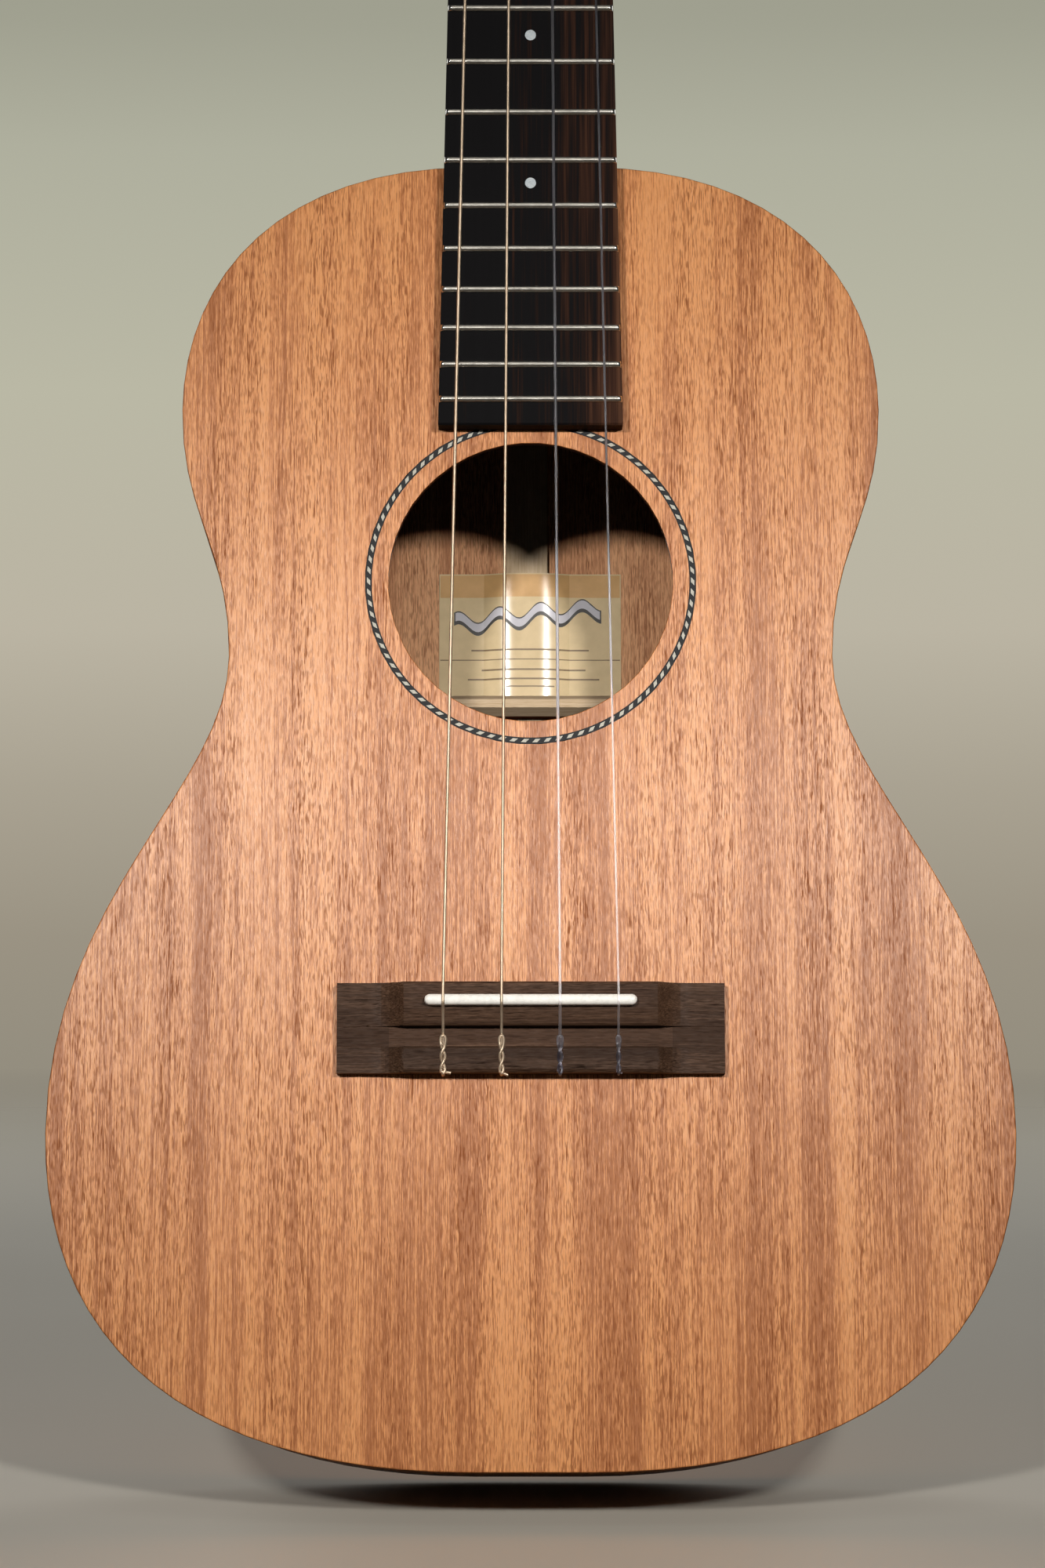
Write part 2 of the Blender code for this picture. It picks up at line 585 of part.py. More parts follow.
def make_bridge():
    """A tie bridge: saddle block, channel and tie block in the middle, ramping down to thin wings."""
    rings = []
    # A scoop: a crisp edge at the block, then a hollow curve running out flat on the wing
    ramp = [(BRIDGE_BLOCK_HALF + BRIDGE_RAMP * i / 5, (1 - i / 5) ** 2) for i in range(6)]
    stations = [(-BRIDGE_HALF, 0.0)] + [(-x, s) for x, s in ramp[::-1]] + ramp + [(BRIDGE_HALF, 0.0)]
    for x, share in stations:
        ring = []
        for z, h in BRIDGE_SECTION:
            wing = WING_H - 0.1 if h == CHANNEL_H else min(h, WING_H)
            ring.append((x, face_y(wing + share * (h - wing)), z))
        rings.append(ring)
    bridge = add("bridge", loft("bridge", rings), "rosewood")
    slot = stadium(SADDLE_HALF_LONG + SLOT_ROOM, SADDLE_HALF_THICK + SLOT_ROOM)
    cutter = plate("saddle_slot_cutter", slot, face_y(SADDLE_CREST + 3), face_y(SADDLE_FOOT - SLOT_ROOM))
    cut(bridge, add("saddle_slot_cutter", cutter, "rosewood"))
    for index in range(len(STRING_NAMES)):
        reach = ((TUNNEL_RADIUS, -5.0), (TUNNEL_RADIUS, 5.0))
        drill = lathe(f"tie_hole_cutter_{index}", reach, 10, axis="x")
        place = (string_x(index, 0), face_y(TUNNEL_H), TUNNEL_Z)
        tool = add(f"tie_hole_cutter_{index}", drill, "rosewood", None, place)
        tool.rotation_euler = (0, math.radians(90), 0)
        cut(bridge, tool)


def stadium(half_long, half_thick, ends=6):
    """A slot outline along X with round ends."""
    reach = half_long - half_thick
    points = []
    for side, start in ((1, -90), (-1, 90)):
        for i in range(ends + 1):
            a = math.radians(start + 180 * i / ends)
            points.append((side * reach + half_thick * math.cos(a), half_thick * math.sin(a)))
    return points


def make_saddle():
    """A blade with round ends and a rounded crest."""
    crest = SADDLE_CREST
    rings = []
    for height, shrink in ((SADDLE_FOOT, 0.0), (crest - 1.1, 0.0), (crest - 0.35, 0.35), (crest, 1.0)):
        ring = stadium(SADDLE_HALF_LONG - shrink, SADDLE_HALF_THICK - shrink)
        rings.append([(x, face_y(height), z) for x, z in ring])
    add("saddle", loft("saddle", rings), "bone")


# ---------------------------------------------------------------- strings


def sweep(name, path, radius, sides=6):
    """A round string along a line of points, turning its section no more than the line does."""
    rings = []
    points = [Vector(p) for p in path]
    tangent = (points[1] - points[0]).normalized()
    across = tangent.orthogonal().normalized()
    for i, point in enumerate(points):
        before = (point - points[i - 1]).normalized() if i else tangent
        after = (points[i + 1] - point).normalized() if i + 1 < len(points) else before
        fresh = (before + after).normalized()
        across = (tangent.rotation_difference(fresh) @ across).normalized()
        tangent = fresh
        other = tangent.cross(across)
        turns = [2 * math.pi * k / sides for k in range(sides)]
        spokes = [math.cos(a) * across + math.sin(a) * other for a in turns]
        rings.append([tuple(point + radius * spoke) for spoke in spokes])
    return loft(name, rings)


def tie_path(x, radius):
    """The tied end: from a hook round the string, back over the tie block and into the tie hole."""
    over = TIE_BLOCK_H + radius + STRING_GAP
    back = BRIDGE_EDGE_Z - radius - STRING_GAP - 0.3
    hook = radius * 2 + 0.35
    return [
        (x - hook, face_y(3.9), -9.6),
        (x - hook, face_y(5.6), -9.9),
        (x - 0.4 * hook, face_y(over + 0.3), -11.0),
        (x, face_y(over + 0.1), -12.6),
        (x, face_y(over), -14.5),
        (x, face_y(over), -18.2),
        (x, face_y(over - 0.5), back),
        (x, face_y(TUNNEL_H + 0.5), back),
        (x, face_y(TUNNEL_H), -18.6),
        (x, face_y(TUNNEL_H), -12.0),
    ]


def coil_path(index, radius, head):
    """From the nut's slot to the post, then round its barrel and up towards the string hole."""
    side = -1 if index < 2 else 1
    row = POST_ROWS[0] if index in (0, 3) else POST_ROWS[1]
    start = Vector((string_x(index, NUT_Z), 0.0))
    post = Vector((side * POST_X, row))
    reach = BARREL_RADIUS + radius + COIL_GAP
    line = post - start
    # The string touches the barrel on its inner side, square to the line it arrives on
    heading = math.atan2(-line.y, -line.x)
    away = heading - side * math.acos(reach / line.length)
    pitch = 2 * radius + COIL_GAP
    path = []
    for k in range(int(COIL_TURNS * COIL_STEPS) + 1):
        angle = away - side * 2 * math.pi * k / COIL_STEPS
        up = COIL_START + pitch * k / COIL_STEPS
        spot = Vector((post.x + reach * math.cos(angle), -up, post.y + reach * math.sin(angle))) * MM
        path.append(tuple(head.matrix_basis @ spot / MM))
    return path


def make_strings(head):
    for index, name in enumerate(STRING_NAMES):
        radius = STRING_RADII[index]
        x = string_x(index, 0)
        crest = SADDLE_CREST + radius + STRING_GAP
        path = tie_path(x, radius)
        path += [(x, face_y(crest), -0.7), (x, face_y(crest), 0.6)]
        nut_x = string_x(index, NUT_Z)
        path += [(nut_x, face_y(NUT_STRING_H), z) for z in (NUT_Z, NUT_Z + NUT_BREAK)]
        path += coil_path(index, radius, head)
        finish = "wound_string" if index < 2 else "nylon"
        add(name, sweep(name, path, radius), finish)


# ---------------------------------------------------------------- tuning machines


def gear_ring(n, twist):
    """One face of the gear at n, its teeth turned by twist. A tooth points along +w."""
    points = []
    half_pitch = GEAR_TOOTH * TOOTH_PITCH / 2
    for tooth in range(TEETH):
        middle = math.pi / 2 + 2 * math.pi * tooth / TEETH + twist
        for radius, way in ((GEAR_ROOT, -1), (GEAR_TIP, -1), (GEAR_TIP, 1), (GEAR_ROOT, 1)):
            half = half_pitch + (GEAR_PITCH_RADIUS - radius) * FLANK
            angle = middle + way * half / radius
            points.append((radius * math.cos(angle), n, radius * math.sin(angle)))
    return points


def gear_mesh(side):
    """The gear on the post's end. Its teeth lean by the worm's lead angle."""
    lead = TOOTH_PITCH * GEAR_HALF_THICK / (2 * math.pi * WORM_PITCH_RADIUS * GEAR_PITCH_RADIUS)
    rings = [gear_ring(MESH_N - GEAR_HALF_THICK, lead), gear_ring(MESH_N + GEAR_HALF_THICK, -lead)]
    rings = [[(side * x, y, z) for x, y, z in ring] for ring in rings]
    return loft(f"tuner_gear_mesh_{side}", rings)


def worm_mesh(side):
    """A shaft along u with a single-start thread, whose gap faces the gear at u = 0."""
    pitch, sides, turns = TOOTH_PITCH, WORM_SIDES, WORM_TURNS
    half = WORM_THREAD * pitch / 2
    profile = []  # the thread's section, as (u from its middle, radius)
    for radius, way in ((WORM_ROOT, -1), (WORM_CREST, -1), (WORM_CREST, 1), (WORM_ROOT, 1)):
        profile.append((way * (half + (WORM_PITCH_RADIUS - radius) * FLANK), radius))
    points = []

    def put(u, radius, j):
        angle = 2 * math.pi * j / sides  # j = 0 faces the gear, which is on the shaft's -w side
        points.append((side * u, radius * math.sin(angle), -radius * math.cos(angle)))
        return len(points) - 1

    columns = []
    for j in range(sides):
        middles = [(k + j / sides - turns / 2) * pitch for k in range(turns + (j == 0))]
        columns.append([put(middle + du, radius, j) for middle in middles for du, radius in profile])
    inner = [put(SHAFT_INNER_END, WORM_ROOT, j) for j in range(sides)]
    outer = [put(SHAFT_OUTER_END, WORM_ROOT, j) for j in range(sides)]
    start, end = columns[0][:4], columns[0][-4:]  # the thread's blunt ends, both on the first line
    faces = [start, end, inner, outer]
    for j in range(sides):
        here, n = columns[j], (j + 1) % sides
        there = columns[n] if n else columns[0][4:]
        for i in range(4 * turns - 1):
            faces.append([here[i], here[i + 1], there[i + 1], there[i]])
        low = [there[0]] if n else [start[0], start[3], there[0]]
        faces.append([inner[j], inner[n]] + low + [here[0]])
        high = [here[-1]] if j else [end[3], end[0], here[-5]]
        faces.append([outer[n], outer[j]] + high + [there[-1]])
    return new_mesh(f"tuner_worm_mesh_{side}", points, faces)


def button_mesh(side):
    """A flattened knob with a blind bore for the shaft, from its collar out."""
    sides = 16
    bore = BUTTON_BORE
    stations = [(BUTTON_BORE_DEEP, bore, bore), (0.0, bore, bore)] + list(BUTTON_STATIONS)
    rings = []
    for along, wide, thick in stations:
        ring = []
        for i in range(sides):
            a = 2 * math.pi * i / sides
            ring.append((side * (BUTTON_START + along), thick * math.sin(a), wide * math.cos(a)))
        rings.append(ring)
    return loft(f"tuner_button_mesh_{side}", rings)


def plate_mesh(side):
    """The base plate lying on the headstock's back."""
    corner, steps = PLATE_CORNER, 4
    left, right = PLATE_LOW[0] + corner, PLATE_HIGH[0] - corner
    bottom, top = PLATE_LOW[1] + corner, PLATE_HIGH[1] - corner
    outline = []
    for u, w, start in ((right, top, 0), (left, top, 90), (left, bottom, 180), (right, bottom, 270)):
        for i in range(steps + 1):
            a = math.radians(start + 90 * i / steps)
            outline.append((side * (u + corner * math.cos(a)), w + corner * math.sin(a)))
    return plate(f"tuner_plate_mesh_{side}", outline, GLUE, TUNER_PLATE)


def lug_mesh(side, near, far):
    """An ear standing on the plate, with a round top, that carries one end of the worm's shaft."""
    section = [(-LUG_RADIUS, LUG_ROOT), (LUG_RADIUS, LUG_ROOT)]
    for i in range(9):
        a = math.pi * i / 8
        section.append((LUG_RADIUS * math.cos(a), MESH_N + LUG_RADIUS * math.sin(a)))
    rings = [[(side * u, n, CENTRES + w) for w, n in section] for u in (near, far)]
    return loft(f"tuner_lug_mesh_{side}_{near > 0}", rings)


def make_tuner(number, side, row, head):
    """One machine: plate with two lugs, worm shaft with its button, and the geared string post."""
    frame = empty(f"tuner_{number}_frame", head, (side * POST_X, HEAD_THICK, row))
    base = add(f"tuner_{number}_plate", plate_mesh(side), "nickel", frame)
    for k, (near, far) in enumerate(((-LUG_FAR, -LUG_NEAR), (LUG_NEAR, LUG_FAR))):
        lug = add(f"tuner_{number}_lug_helper_{k}", lug_mesh(side, near, far), "nickel", frame)
        combine(base, lug, "UNION")
    bore = lathe(f"tuner_{number}_bore_cutter", ((LUG_BORE, -12.0), (LUG_BORE, 12.0)), 16, axis="x")
    cut(base, add(f"tuner_{number}_bore_cutter", bore, "nickel", frame, (0, MESH_N, CENTRES)))
    hole = lathe(f"tuner_{number}_hole_cutter", ((PLATE_HOLE, -3.0), (PLATE_HOLE, 2.5)), 20)
    cut(base, add(f"tuner_{number}_hole_cutter", hole, "nickel", frame))

    post = add(f"tuner_{number}_post", lathe("tuner_post_mesh", POST_PROFILE, 16), "nickel", frame)
    combine(post, add(f"tuner_{number}_gear_helper", gear_mesh(side), "brass", frame), "UNION")
    drill = ((STRING_HOLE_RADIUS, -6.0), (STRING_HOLE_RADIUS, 6.0))
    string_hole = lathe(f"tuner_{number}_string_hole_cutter", drill, 8, axis="x")
    place = (0, STRING_HOLE_N - HEAD_THICK, 0)
    cut(post, add(f"tuner_{number}_string_hole_cutter", string_hole, "nickel", frame, place))

    axis = (0, MESH_N, CENTRES)
    add(f"tuner_{number}_worm_shaft", worm_mesh(side), "steel", frame, axis)
    add(f"tuner_{number}_button", button_mesh(side), "button_plastic", frame, axis)


def main():
    clear_scene()
    head = empty("headstock_frame", None, (0, -BODY_DEPTH, HEAD_Z), (-HEAD_ANGLE, 0, 0))
    bpy.context.view_layer.update()
    make_soundboard()
    make_back()
    make_ribs()
    make_blocks()
    make_linings()
    make_braces()
    make_neck(head)
    make_fretboard()
    make_frets()
    make_nut(head)
    make_bridge()
    make_saddle()
    make_strings(head)
    near, far = POST_ROWS
    for number, side, row in ((4, -1, near), (3, -1, far), (2, 1, far), (1, 1, near)):
        make_tuner(number, side, row, head)


main()
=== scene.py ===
"""Looks for the baritone ukulele: finer meshes, procedural materials, soft light and the camera.

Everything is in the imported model's frame: +X treble side, -Y out of the soundboard, +Z up the neck.
Lengths are in metres, and MM turns a value in millimetres into metres.
"""

import json
import math

import bmesh
import bpy
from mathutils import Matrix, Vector

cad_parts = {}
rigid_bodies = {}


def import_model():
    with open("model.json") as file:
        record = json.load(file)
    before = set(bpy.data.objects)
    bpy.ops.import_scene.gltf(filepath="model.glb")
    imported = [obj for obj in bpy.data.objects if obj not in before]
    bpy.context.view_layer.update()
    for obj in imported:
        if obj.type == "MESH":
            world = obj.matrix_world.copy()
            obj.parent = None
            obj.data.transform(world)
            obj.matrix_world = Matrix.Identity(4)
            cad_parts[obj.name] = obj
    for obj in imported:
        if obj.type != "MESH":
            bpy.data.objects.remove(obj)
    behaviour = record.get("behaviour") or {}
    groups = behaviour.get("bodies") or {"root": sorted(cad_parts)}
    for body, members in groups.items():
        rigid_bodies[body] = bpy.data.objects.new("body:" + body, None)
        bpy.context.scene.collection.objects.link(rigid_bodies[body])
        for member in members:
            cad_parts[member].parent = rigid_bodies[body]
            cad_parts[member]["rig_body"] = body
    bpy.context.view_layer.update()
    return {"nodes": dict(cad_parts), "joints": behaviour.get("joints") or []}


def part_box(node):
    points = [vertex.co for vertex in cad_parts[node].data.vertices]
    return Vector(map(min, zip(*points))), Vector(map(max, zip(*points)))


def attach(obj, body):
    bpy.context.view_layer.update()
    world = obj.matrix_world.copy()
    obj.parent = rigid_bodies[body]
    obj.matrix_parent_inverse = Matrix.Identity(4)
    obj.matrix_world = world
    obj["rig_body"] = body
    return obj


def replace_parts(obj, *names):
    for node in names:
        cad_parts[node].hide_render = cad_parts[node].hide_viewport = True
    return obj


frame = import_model()

MM = 0.001
NODES = frame["nodes"]
FRET_NAMES = [f"fret_{number:02d}" for number in range(1, 21)]

# The strings from the bass side, and each one's tuner, material and tied tail (x and z in millimetres)
STRINGS = ("string_4_d", "string_3_g", "string_2_b", "string_1_e")
TUNERS = (4, 3, 2, 1)
STRING_LOOKS = ("wound", "wound", "nylon", "nylon")
TIE_TAILS = ((2.6, -0.3), (2.2, -0.9), (0.9, -0.2), (1.3, -0.3))

# Sizes that the CAD's boxes don't give. The bridge's heights are above the soundboard.
HEAD_THICK = 14 * MM
RING_WIDE = 1.75 * MM
WING_TALL, CHANNEL_TALL, TUNNEL_TALL, TIE_TALL = 3.4 * MM, 3.0 * MM, 4.5 * MM, 6.6 * MM
RAMP_START, RAMP_WIDE = 33.7 * MM, 10.0 * MM

# Sizes read from the frame
BOARD_LOW, BOARD_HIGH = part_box("fretboard")
TOP_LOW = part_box("soundboard")[0]
FACE_Y = TOP_LOW.y
BOARD_TOP = BOARD_LOW.y
RING_LOW, RING_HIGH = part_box("rosette")
HOLE_Z = (RING_LOW.z + RING_HIGH.z) / 2
RING_OUTER = (RING_HIGH.x - RING_LOW.x) / 2
BACK_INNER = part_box("back_plate")[0].y
STRIP_LOW, STRIP_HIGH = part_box("back_centre_strip")
BRACE_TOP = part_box("back_brace_waist")[1].z
SADDLE_LOW, SADDLE_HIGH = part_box("saddle")


def joint(name):
    return next(j for j in frame["joints"] if j["name"] == name)


# ---- node material helpers


def new_material(name):
    made = bpy.data.materials.new(name)
    made.use_nodes = True
    return made, made.node_tree, made.node_tree.nodes["Principled BSDF"]


def link(tree, output, target):
    tree.links.new(output, target)


def node(tree, kind, **values):
    made = tree.nodes.new(kind)
    for key, value in values.items():
        if hasattr(made, key):
            setattr(made, key, value)
        else:
            made.inputs[key].default_value = value
    return made


def settle(shader, **inputs):
    """Gives a shader's inputs fixed values. An underscore stands for a space."""
    for key, value in inputs.items():
        shader.inputs[key.replace("_", " ")].default_value = value


def scaled_coords(tree, scale, offset=(0, 0, 0)):
    """Object coordinates, which are metres in the model's frame, times a scale per axis."""
    coords = node(tree, "ShaderNodeTexCoord")
    mapping = node(tree, "ShaderNodeMapping")
    mapping.inputs["Scale"].default_value = scale
    mapping.inputs["Location"].default_value = offset
    link(tree, coords.outputs["Object"], mapping.inputs["Vector"])
    return mapping.outputs["Vector"]


def noise(tree, vector, detail=2.0, roughness=0.5, distortion=0.0):
    made = node(tree, "ShaderNodeTexNoise", Scale=1.0, Detail=detail, Roughness=roughness)
    made.inputs["Distortion"].default_value = distortion
    link(tree, vector, made.inputs["Vector"])
    return made.outputs["Fac"]


def ramp(tree, value, *stops):
    made = node(tree, "ShaderNodeValToRGB")
    elements = made.color_ramp.elements
    while len(elements) < len(stops):
        elements.new(0.5)
    for element, (place, colour) in zip(elements, stops):
        element.position = place
        element.color = (*colour, 1.0) if isinstance(colour, tuple) else (colour,) * 3 + (1.0,)
    link(tree, value, made.inputs["Fac"])
    return made.outputs["Color"]


def feed(tree, value, socket):
    """Links an output to a socket, or gives the socket a number or colour."""
    if isinstance(value, bpy.types.NodeSocket):
        link(tree, value, socket)
    else:
        socket.default_value = (*value, 1.0) if isinstance(value, tuple) else value


def math_node(tree, operation, a, b=0.0):
    made = node(tree, "ShaderNodeMath", operation=operation)
    feed(tree, a, made.inputs[0])
    feed(tree, b, made.inputs[1])
    return made.outputs[0]


def part_of(tree, vector, axis):
    """A vector's X, Y or Z."""
    split = node(tree, "ShaderNodeSeparateXYZ")
    link(tree, vector, split.inputs["Vector"])
    return split.outputs[axis]


def bump(tree, shader, height, distance, strength=1.0):
    made = node(tree, "ShaderNodeBump", Strength=strength, Distance=distance)
    link(tree, height, made.inputs["Height"])
    link(tree, made.outputs["Normal"], shader.inputs["Normal"])


def mix_colours(tree, kind, factor, a, b):
    made = tree.nodes.new("ShaderNodeMix")
    made.data_type = "RGBA"
    made.blend_type = kind
    for value, number in ((factor, 0), (a, 6), (b, 7)):
        feed(tree, value, made.inputs[number])
    return made.outputs[2]


def seen_only(tree, colour, rest):
    """A colour for the camera and a darker one for bounced light, which keeps the body's inside dim."""
    path = node(tree, "ShaderNodeLightPath")
    return mix_colours(tree, "MIX", path.outputs["Is Camera Ray"], rest, colour)


def stretched(along, across, run):
    """A scale per axis for grain that runs along one axis."""
    return tuple(run if axis == along else across for axis in "XYZ")


def signed(tree, value, amount):
    """A 0-to-1 value turned into plus or minus half of amount."""
    return math_node(tree, "MULTIPLY", math_node(tree, "SUBTRACT", value, 0.5), amount)


def total(tree, *values):
    found = values[0]
    for value in values[1:]:
        found = math_node(tree, "ADD", found, value)
    return found


def wood(
    name, light, middle, dark, pore, grain="Z", roughness=0.311, level=0.32, offset=(0, 0, 0),
    ribbon=1.0, pores=1.0, streak=1.0, painted_edge_shade=None, rest=None,
):
    """Open-pored wood: ribbons, streaks, flecks and short dark pores that all run along the grain.

    The sheen is narrow along the grain and wide across it. Given an edge colour, faces that turn away
    from the Y axis are painted it: a painted shade on the rounded edges. Rest is the colour
    that bounced light finds.
    """
    made, tree, shader = new_material(name)
    wander = node(tree, "ShaderNodeTexNoise", Scale=1.0, Detail=1.0)
    link(tree, scaled_coords(tree, stretched(grain, 45, 14), offset), wander.inputs["Vector"])
    shift = node(tree, "ShaderNodeVectorMath", operation="MULTIPLY_ADD")
    link(tree, wander.outputs["Color"], shift.inputs[0])
    shift.inputs[1].default_value = stretched(grain, 1.6 * MM, 0.0)
    link(tree, scaled_coords(tree, (1, 1, 1), offset), shift.inputs[2])

    def layer(across, run, **more):
        """Noise with about this many cells in a metre across the grain and along it."""
        scaled = node(tree, "ShaderNodeVectorMath", operation="MULTIPLY")
        link(tree, shift.outputs[0], scaled.inputs[0])
        scaled.inputs[1].default_value = stretched(grain, across, run)
        return noise(tree, scaled.outputs[0], **more)

    bands = layer(75, 1.2, roughness=0.6)
    streaks = layer(380, 6, roughness=0.6)
    threads = layer(2400, 16, detail=1.0, roughness=0.6)
    flecks = layer(1900, 420, roughness=0.7)
    fibres = layer(3600, 200, detail=1.0, roughness=0.6)
    clouds = layer(22, 12, detail=1.0)
    tone = total(
        tree, 0.5, signed(tree, bands, 2.4 * ribbon), signed(tree, streaks, 1.2 * streak),
        signed(tree, threads, 1.9 * streak), signed(tree, flecks, streak),
        signed(tree, fibres, 1.5 * streak), signed(tree, clouds, 0.7),
    )
    colour = ramp(tree, tone, (0.1, dark), (0.5, middle), (0.9, light))
    vessels = ramp(tree, layer(2800, 330, detail=1.0), (0.50, 0.0), (0.62, 1.0))
    long_vessels = ramp(tree, layer(2300, 110, detail=1.0), (0.60, 0.0), (0.68, 1.0))
    crowded = ramp(tree, layer(110, 7, detail=1.0), (0.3, 0.35), (0.62, 1.0))
    density = math_node(tree, "MULTIPLY", crowded, 0.62 * pores)
    mask = math_node(tree, "MULTIPLY", total(tree, vessels, long_vessels), density)
    colour = mix_colours(tree, "MIX", math_node(tree, "MINIMUM", mask, 0.9), colour, pore)
    # Painted shade: faces that turn away from the Y axis blend into the darker edge colour
    if painted_edge_shade:
        facing = part_of(tree, node(tree, "ShaderNodeTexCoord").outputs["Normal"], "Y")
        flat = ramp(tree, math_node(tree, "ABSOLUTE", facing), (0.45, 0.0), (0.93, 1.0))
        colour = mix_colours(tree, "MIX", flat, painted_edge_shade, colour)
    if rest:
        colour = seen_only(tree, colour, rest)
    link(tree, colour, shader.inputs["Base Color"])
    link(tree, total(tree, signed(tree, fibres, 0.12), roughness), shader.inputs["Roughness"])
    glints = total(tree, level, signed(tree, flecks, 1.5 * level))
    with_tone = math_node(tree, "MULTIPLY", glints, total(tree, 1.0, signed(tree, tone, 0.4)))
    shine = math_node(tree, "MULTIPLY", with_tone, math_node(tree, "SUBTRACT", 1.0, mask))
    link(tree, shine, shader.inputs["Specular IOR Level"])
    settle(shader, Anisotropic=0.53)
    tangent = node(tree, "ShaderNodeCombineXYZ")
    tangent.inputs["Z" if grain == "X" else "X"].default_value = 1.0
    link(tree, tangent.outputs["Vector"], shader.inputs["Tangent"])
    height = math_node(tree, "SUBTRACT", math_node(tree, "MULTIPLY", fibres, 0.5), vessels)
    bump(tree, shader, height, 0.03 * MM, 0.35)
    return made


# ---- materials


# Light, middle, dark and pore colours
MAHOGANY = ((0.76, 0.325, 0.110), (0.61, 0.240, 0.081), (0.43, 0.157, 0.053), (0.25, 0.080, 0.030))
MAHOGANY_INSIDE = ((0.80, 0.42, 0.21), (0.68, 0.33, 0.16), (0.53, 0.24, 0.115), (0.30, 0.125, 0.06))
MAHOGANY_NECK = ((0.50, 0.185, 0.065), (0.38, 0.135, 0.046), (0.26, 0.088, 0.031), (0.12, 0.04, 0.018))
SPRUCE = ((0.70, 0.54, 0.36), (0.62, 0.46, 0.29), (0.52, 0.36, 0.21), (0.42, 0.28, 0.16))
ROSEWOOD = ((0.104, 0.056, 0.032), (0.076, 0.040, 0.0225), (0.050, 0.026, 0.015), (0.016, 0.009, 0.006))

# Painted shade for the rounded edges of the top, the back and the sound hole
EDGE_PAINTED_SHADE = (0.16, 0.046, 0.010)
INSIDE_REST = (0.05, 0.012, 0.006)


def mahogany_top():
    return wood("mahogany_top", *MAHOGANY, painted_edge_shade=EDGE_PAINTED_SHADE)


def mahogany_sides():
    return wood("mahogany_sides", *MAHOGANY, offset=(3, 5, 1))


def mahogany_inside():
    return wood(
        "mahogany_inside", *MAHOGANY_INSIDE, offset=(1, 2, 6), roughness=0.55, level=0.15, rest=INSIDE_REST
    )


def mahogany_neck():
    return wood("mahogany_neck", *MAHOGANY_NECK, offset=(7, 2, 4), ribbon=0.6)


def spruce(grain="X"):
    return wood(
        "spruce_" + grain.lower(), *SPRUCE, grain=grain, roughness=0.6, level=0.15, ribbon=0.5,
        pores=0.2, streak=0.5, rest=INSIDE_REST,
    )


# The tones are scaled for lighter and darker copies, which paint light and shade onto parts of the bridge
def rosewood(name="rosewood_bridge", grain="X", offset=(0.4, 0.2, 0.7), painted_brightness=1.0):
    tones = [tuple(painted_brightness * part for part in tone) for tone in ROSEWOOD]
    return wood(
        name, *tones, grain=grain, roughness=0.5, level=0.13, offset=offset, ribbon=0.8, pores=0.8, streak=0.7
    )


def fretboard_wood():
    """Near black on the bass side, with red-brown streaks that gather on the treble side."""
    made, tree, shader = new_material("fretboard_wood")
    broad = noise(tree, scaled_coords(tree, (190, 60, 7), (2.3, 0, 0)), detail=4.0, roughness=0.7)
    fine = noise(tree, scaled_coords(tree, (1300, 300, 14)), detail=3.0, roughness=0.65)
    side = part_of(tree, scaled_coords(tree, (12, 12, 12)), "X")
    tone = total(tree, math_node(tree, "MULTIPLY", broad, 1.3), side, -0.2, signed(tree, fine, 0.8))
    black, dark = (0.0060, 0.0056, 0.0060), (0.017, 0.0085, 0.006)
    brown, light = (0.045, 0.019, 0.011), (0.095, 0.042, 0.022)
    colour = ramp(tree, tone, (0.48, black), (0.62, dark), (0.78, brown), (0.95, light))
    link(tree, colour, shader.inputs["Base Color"])
    link(tree, total(tree, signed(tree, fine, 0.2), 0.66), shader.inputs["Roughness"])
    settle(shader, Specular_IOR_Level=0.04)
    bump(tree, shader, fine, 0.03 * MM, 0.5)
    return made


def plain(name, colour, roughness, metallic=0.0, speck=0.06, scale=900.0, bump_mm=0.0, rest=None, **inputs):
    """A smooth material whose colour and roughness still vary a little."""
    made, tree, shader = new_material(name)
    spots = noise(tree, scaled_coords(tree, (scale,) * 3), detail=3.0)
    low = tuple(c * (1 - speck) for c in colour)
    high = tuple(min(1.0, c * (1 + speck)) for c in colour)
    varied = ramp(tree, spots, (0.3, low), (0.7, high))
    link(tree, seen_only(tree, varied, rest) if rest else varied, shader.inputs["Base Color"])
    link(tree, total(tree, signed(tree, spots, 0.1), roughness), shader.inputs["Roughness"])
    settle(shader, Metallic=metallic, **inputs)
    if bump_mm:
        bump(tree, shader, spots, bump_mm * MM)
    return made


def paper(name, colour, speck):
    """Varnished paper, which shines a little and stays dim for bounced light."""
    return plain(name, colour, 0.2, speck=speck, scale=300, rest=INSIDE_REST, Specular_IOR_Level=0.9)


def inlay(name, colour, speck):
    """Dull dyed wood fibre."""
    return plain(name, colour, 0.5, speck=speck, scale=2500, Specular_IOR_Level=0.2)


def wound_metal():
    """Fine round wire wrapped along the string, seen as close ridges across it."""
    made, tree, shader = new_material("wound_metal")
    wave = node(tree, "ShaderNodeTexWave", wave_type="BANDS", bands_direction="Z", wave_profile="SIN")
    wave.inputs["Scale"].default_value = 1.0
    pitch, waves_per_unit = 0.25 * MM, 20 / (2 * math.pi)
    link(tree, scaled_coords(tree, (1, 1, 1 / (pitch * waves_per_unit))), wave.inputs["Vector"])
    patches = noise(tree, scaled_coords(tree, (400, 400, 400)), detail=2.0)
    metal = ramp(tree, patches, (0.3, (0.55, 0.43, 0.30)), (0.7, (0.70, 0.56, 0.41)))
    link(tree, metal, shader.inputs["Base Color"])
    settle(shader, Metallic=0.85, Roughness=0.5)
    bump(tree, shader, wave.outputs["Fac"], 0.03 * MM, 0.3)
    return made


